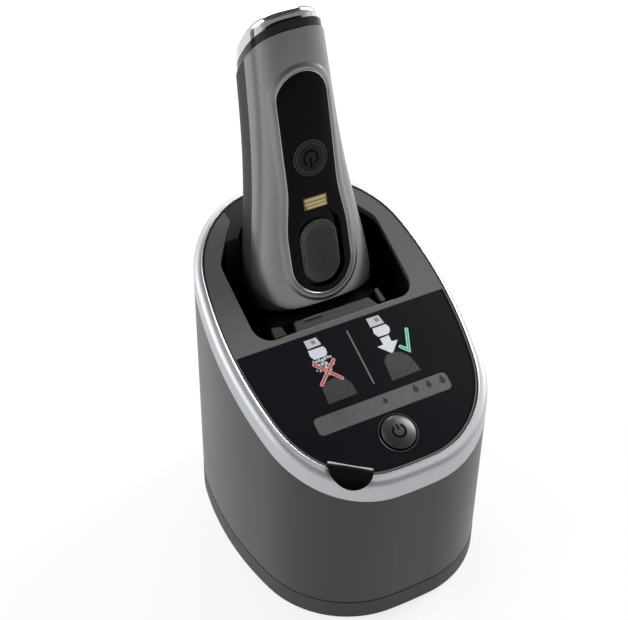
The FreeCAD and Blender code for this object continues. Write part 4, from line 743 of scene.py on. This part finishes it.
def stadium(form, turns, runs):
    # outline of two half circles and two straight sides, with that many points on each
    straight = form["halfLength"] - form["halfWidth"]
    turn = np.linspace(0, math.pi, turns, endpoint=False)
    x = np.concatenate([form["halfWidth"] * np.cos(turn), np.full(runs, -form["halfWidth"])])
    s = np.concatenate([straight + form["halfWidth"] * np.sin(turn),
                        np.linspace(straight, -straight, runs, endpoint=False)])
    return np.concatenate([x, -x]), np.concatenate([s, -s])


# lock pad in millimetres; pairs are where a soft edge starts and ends, as shares of the way to the outline
pad = {"middle": 23.3, "halfLength": 14.8, "halfWidth": 9.2, "thick": 1.4, "fall": 0.9, "shoulder": 0.1,
       "ridge": 0.30, "cross": 0.4, "pitch": 1.0, "way": (0.73, 0.68), "reach": 0.985, "ridgeEnd": (1.0, 0.9),
       "fallEdge": (0.80, 1.02)}


def makePad():
    # key whose face carries slanting ridges, sines along their way, cut across by a fainter second set
    edgeX, edgeS = stadium(pad, 130, 60)
    rho = np.linspace(0, pad["reach"], 90)[:, None]
    x, s = rho * edgeX, rho * edgeS
    face = castFront("head_lock_pad", x, s + pad["middle"])
    wave = 2 * math.pi / pad["pitch"]
    a, b = pad["way"]
    weave = np.sin(wave * (a * x - b * s)) + pad["cross"] * np.sin(wave * (b * x + a * s))
    ridges = pad["ridge"] * weave * smoothStep(*pad["ridgeEnd"], rho)
    raised = (ridges - pad["fall"] * smoothStep(*pad["fallEdge"], rho)) / 1000
    rings = [face + frontWay * raised[..., None]]
    for row, depth in ((face[-1:], pad["fall"] + pad["shoulder"]), (face[-1:], pad["thick"]),
                       (face[:1], pad["thick"])):
        rings.append(row - frontWay * depth / 1000)
    piece = gridPiece("lock_pad", [np.concatenate(rings)], "padGrain", "head_lock", closed=True, sharp=50)
    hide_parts("head_lock_pad")


# black tray in the lock pad's recess, in millimetres; floor and rim are shares of the way to its outline
padWell = {"middle": 25.2, "halfLength": 18.2, "halfWidth": 10.8, "wall": 1.5, "proud": 0.04, "thick": 0.3,
           "floor": 0.995, "rim": 0.997}


def makePadWell():
    # a floor on the shell, a wall up to the inlay, and back down under the floor
    w = padWell
    edgeX, edgeS = stadium(w, 47, 1)
    rho = np.linspace(0, w["floor"], 14)[:, None]
    proud, wall, thick = (frontWay * w[key] / 1000 for key in ("proud", "wall", "thick"))
    floor = castFront("front_shell", rho * edgeX, rho * edgeS + w["middle"]) + proud
    outer = castFront("front_shell", w["rim"] * edgeX, w["rim"] * edgeS + w["middle"])[None]
    grid = np.concatenate([floor, floor[-1:] + wall, outer + wall, floor[::-1] - thick])
    gridPiece("pad_well", [grid], "padWellBlack", "shaver", closed=True)


def facePatch(name, across, along, node, material, proud, sunk=0.0002):
    # plate that follows a node's face: a cast grid of its face, and its edges carried down into the node
    x, s = np.meshgrid(np.linspace(*across, 24), np.linspace(*along, 5))
    face = castFront(node, x, s)
    top, low = face + frontWay * proud, face - frontWay * sunk
    edges = [np.stack([top[edge], low[edge]]) for edge in (np.s_[0], np.s_[-1], np.s_[:, 0], np.s_[:, -1])]
    gridPiece(name, [top, low, *edges], material, "shaver", sharp=30, weld=1e-7)


# power sign and gold mark in millimetres and degrees of the shaver's own frame; proud heights in metres
marks = {"power": 67.0, "radius": 3.2, "line": 0.9, "opening": 36, "bar": [(0, 62.6), (0, 66.6)],
         "rings": {"power_rim": 7.6, "power_dish": 6.4}, "ringLine": 0.3, "plate": ((-5.6, 5.6), (43.9, 49.4)),
         "bars": (((-4.1, 5.0), (44.2, 45.4)), ((-5.0, 5.0), (45.8, 47.0)), ((-5.0, 5.0), (47.5, 48.9))),
         "barLift": 0.00001, "plateProud": 0.00003, "barsProud": 0.00008}


def makeShaverMarks():
    # power sign and two fine rings on the button, gold contact mark under it
    def arc(radius, angles):
        turn = np.radians(angles)
        return np.stack([radius * np.cos(turn), marks["power"] + radius * np.sin(turn)], -1)

    circle = arc(marks["radius"], np.linspace(-90 + marks["opening"], 270 - marks["opening"], 60))
    button = onFront("power_button")
    for name, path, lift in (("power_sign", circle, 0.0), ("power_sign_bar", marks["bar"], marks["barLift"])):
        inkLayer(name, [stroke(path, marks["line"])], button, "buttonMark", "power_button", lift)
    for name, radius in marks["rings"].items():
        ring = stroke(arc(radius, np.linspace(0, 360, 90)[:88]), marks["ringLine"])
        inkLayer(name, [ring], button, "inkDark", "power_button", 0.0)
    facePatch("gold_plate", *marks["plate"], "inlay", "markBrown", marks["plateProud"])
    for index, bar in enumerate(marks["bars"]):
        facePatch("gold_bar_%d" % index, *bar, "inlay", "markGold", marks["barsProud"])


# white studio: the sky's grey at two heights, its shade in front and how much of its own white the floor shows
studio = {"floorRadius": 4.0, "floorColour": (0.92, 0.92, 0.92, 1), "ownWhite": 0.8,
          "horizon": (0.25, 0.95), "zenith": (0.8, 0.10),
          "frontShade": 0.35, "shadeFrom": -0.95, "shadeTo": 0.05}
white = {"Color": (1, 1, 1, 1), "Strength": 1.0}


def mixShaders(tree, share, first, second):
    # the first shader where the share is zero, the second where it is one
    blend = placeNode(tree, "MixShader")
    for source, socket in zip((share, first.outputs[0], second.outputs[0]), blend.inputs):
        tree.links.new(source, socket)
    return blend.outputs[0]


def makeFloor():
    # disc that adds its own white for the rays that look at it, so that it fades into the background
    mesh = bpy.data.meshes.new("studioFloor")
    angle = np.linspace(0, 2 * math.pi, 96, endpoint=False)
    ring = np.stack([np.cos(angle), np.sin(angle), 0 * angle], -1) * studio["floorRadius"]
    mesh.from_pydata(ring.tolist(), [], [list(range(96))])
    floor = bpy.data.objects.new("studioFloor", mesh)
    scene.collection.objects.link(floor)
    material = bpy.data.materials.new("floorWhite")
    material.use_nodes = True
    tree = material.node_tree
    tree.nodes.clear()
    diffuse = placeNode(tree, "BsdfDiffuse", {"Color": studio["floorColour"]})
    path = placeNode(tree, "LightPath")
    seen = path.outputs["Is Camera Ray"]
    for ray in ("Is Glossy Ray", "Is Transmission Ray"):
        seen = mathNode(tree, "MAXIMUM", seen, path.outputs[ray])
    share = mathNode(tree, "MULTIPLY", seen, studio["ownWhite"])
    surface = mixShaders(tree, share, diffuse, placeNode(tree, "Emission", white))
    tree.links.new(surface, placeNode(tree, "OutputMaterial").inputs[0])
    mesh.materials.append(material)


def makeWorld():
    # bright round the horizon and darker overhead, like a white cove under an open ceiling; white to the camera
    world = bpy.data.worlds.new("studioWorld")
    scene.world = world
    world.use_nodes = True
    tree = world.node_tree
    back = tree.nodes["Background"]
    place, split, ramp = (placeNode(tree, kind) for kind in ("TexCoord", "SeparateXYZ", "ValToRGB"))
    for element, (position, grey) in zip(ramp.color_ramp.elements, (studio["horizon"], studio["zenith"])):
        element.position, element.color = position, (grey, grey, grey, 1)
    front = placeNode(tree, "MapRange", {"From Min": studio["shadeFrom"], "From Max": studio["shadeTo"],
                                         "To Min": studio["frontShade"], "To Max": 1.0})
    front.interpolation_type = "SMOOTHSTEP"
    tree.links.new(place.outputs["Generated"], split.inputs[0])
    tree.links.new(split.outputs[2], ramp.inputs[0])
    tree.links.new(ramp.outputs[0], back.inputs["Color"])
    tree.links.new(split.outputs[1], front.inputs["Value"])
    tree.links.new(front.outputs[0], back.inputs["Strength"])
    seen = placeNode(tree, "LightPath").outputs["Is Camera Ray"]
    surface = mixShaders(tree, seen, back, placeNode(tree, "Background", white))
    tree.links.new(surface, tree.nodes["World Output"].inputs["Surface"])


flag = {"from": (-0.16, 0.11), "to": (-1.6, 0.40), "near": 0.03, "far": 0.30, "height": 0.003}


def makeFlag():
    # dark card that lies left of the object and shows in its gloss alone, as studios use to edge chrome
    start, end = np.array(flag["from"]), np.array(flag["to"])
    side = np.array([start[1] - end[1], end[0] - start[0]]) / np.linalg.norm(end - start)
    near, far = side * flag["near"], side * flag["far"]
    mesh = bpy.data.meshes.new("studioFlag")
    plan = (start - near, start + near, end + far, end - far)
    mesh.from_pydata([(*p, flag["height"]) for p in plan], [], [(3, 2, 1, 0)])
    mesh.materials.append(looks["wellBlack"])
    card = bpy.data.objects.new("studioFlag", mesh)
    scene.collection.objects.link(card)
    for rays in ("camera", "diffuse", "shadow", "transmission", "volume_scatter"):
        setattr(card, "visible_" + rays, False)


# lamps: place, target, size in metres, power in watts
lamps = {"leftBox": ((-0.9, 0.30, 0.60), (0, 0, 0.08), (0.9, 0.9), 9.5),
         "rightBox": ((0.9, 0.15, 0.6), (0, 0, 0.08), (0.5, 0.9), 12.0),
         "rearBox": ((0.2, 1.0, 0.9), (0, 0, 0.1), (0.9, 0.5), 8.0)}


def makeLamps():
    for name, (place, target, size, power) in lamps.items():
        lamp = bpy.data.lights.new(name, "AREA")
        lamp.shape = "RECTANGLE"
        lamp.size, lamp.size_y = size
        lamp.energy = power
        holder = bpy.data.objects.new(name, lamp)
        scene.collection.objects.link(holder)
        holder.location = place
        holder.rotation_euler = (Vector(target) - Vector(place)).to_track_quat("-Z", "Y").to_euler()


view = {"place": (-0.24291, -0.41963, 0.53573), "way": (0.365333, 0.667677, -0.648644), "roll": 0.82,
        "lens": 83.9, "sensor": 36.0, "clip": (0.01, 20.0)}


def addCamera():
    lens = bpy.data.cameras.new("camera")
    lens.lens, lens.sensor_width = view["lens"], view["sensor"]
    lens.clip_start, lens.clip_end = view["clip"]
    holder = bpy.data.objects.new("camera", lens)
    scene.collection.objects.link(holder)
    holder.location = view["place"]
    holder.rotation_euler = Vector(view["way"]).to_track_quat("-Z", "Y").to_euler()
    holder.rotation_euler.rotate_axis("Z", math.radians(view["roll"]))
    scene.camera = holder


makeFloor()
makeWorld()
makeFlag()
makeLamps()
addCamera()
scene.view_settings.view_transform = "Standard"
print("studio ready")

makeSigns()
makeDrops()
makeLedge()
makeCleanButton()
makeBezel()
makeTab()
makeRingBead()
print("signs, button, tab and bead made")
makeInlayLip()
makeInlayRim()
makePad()
makePadWell()
makeShaverMarks()
print("shaver details made")
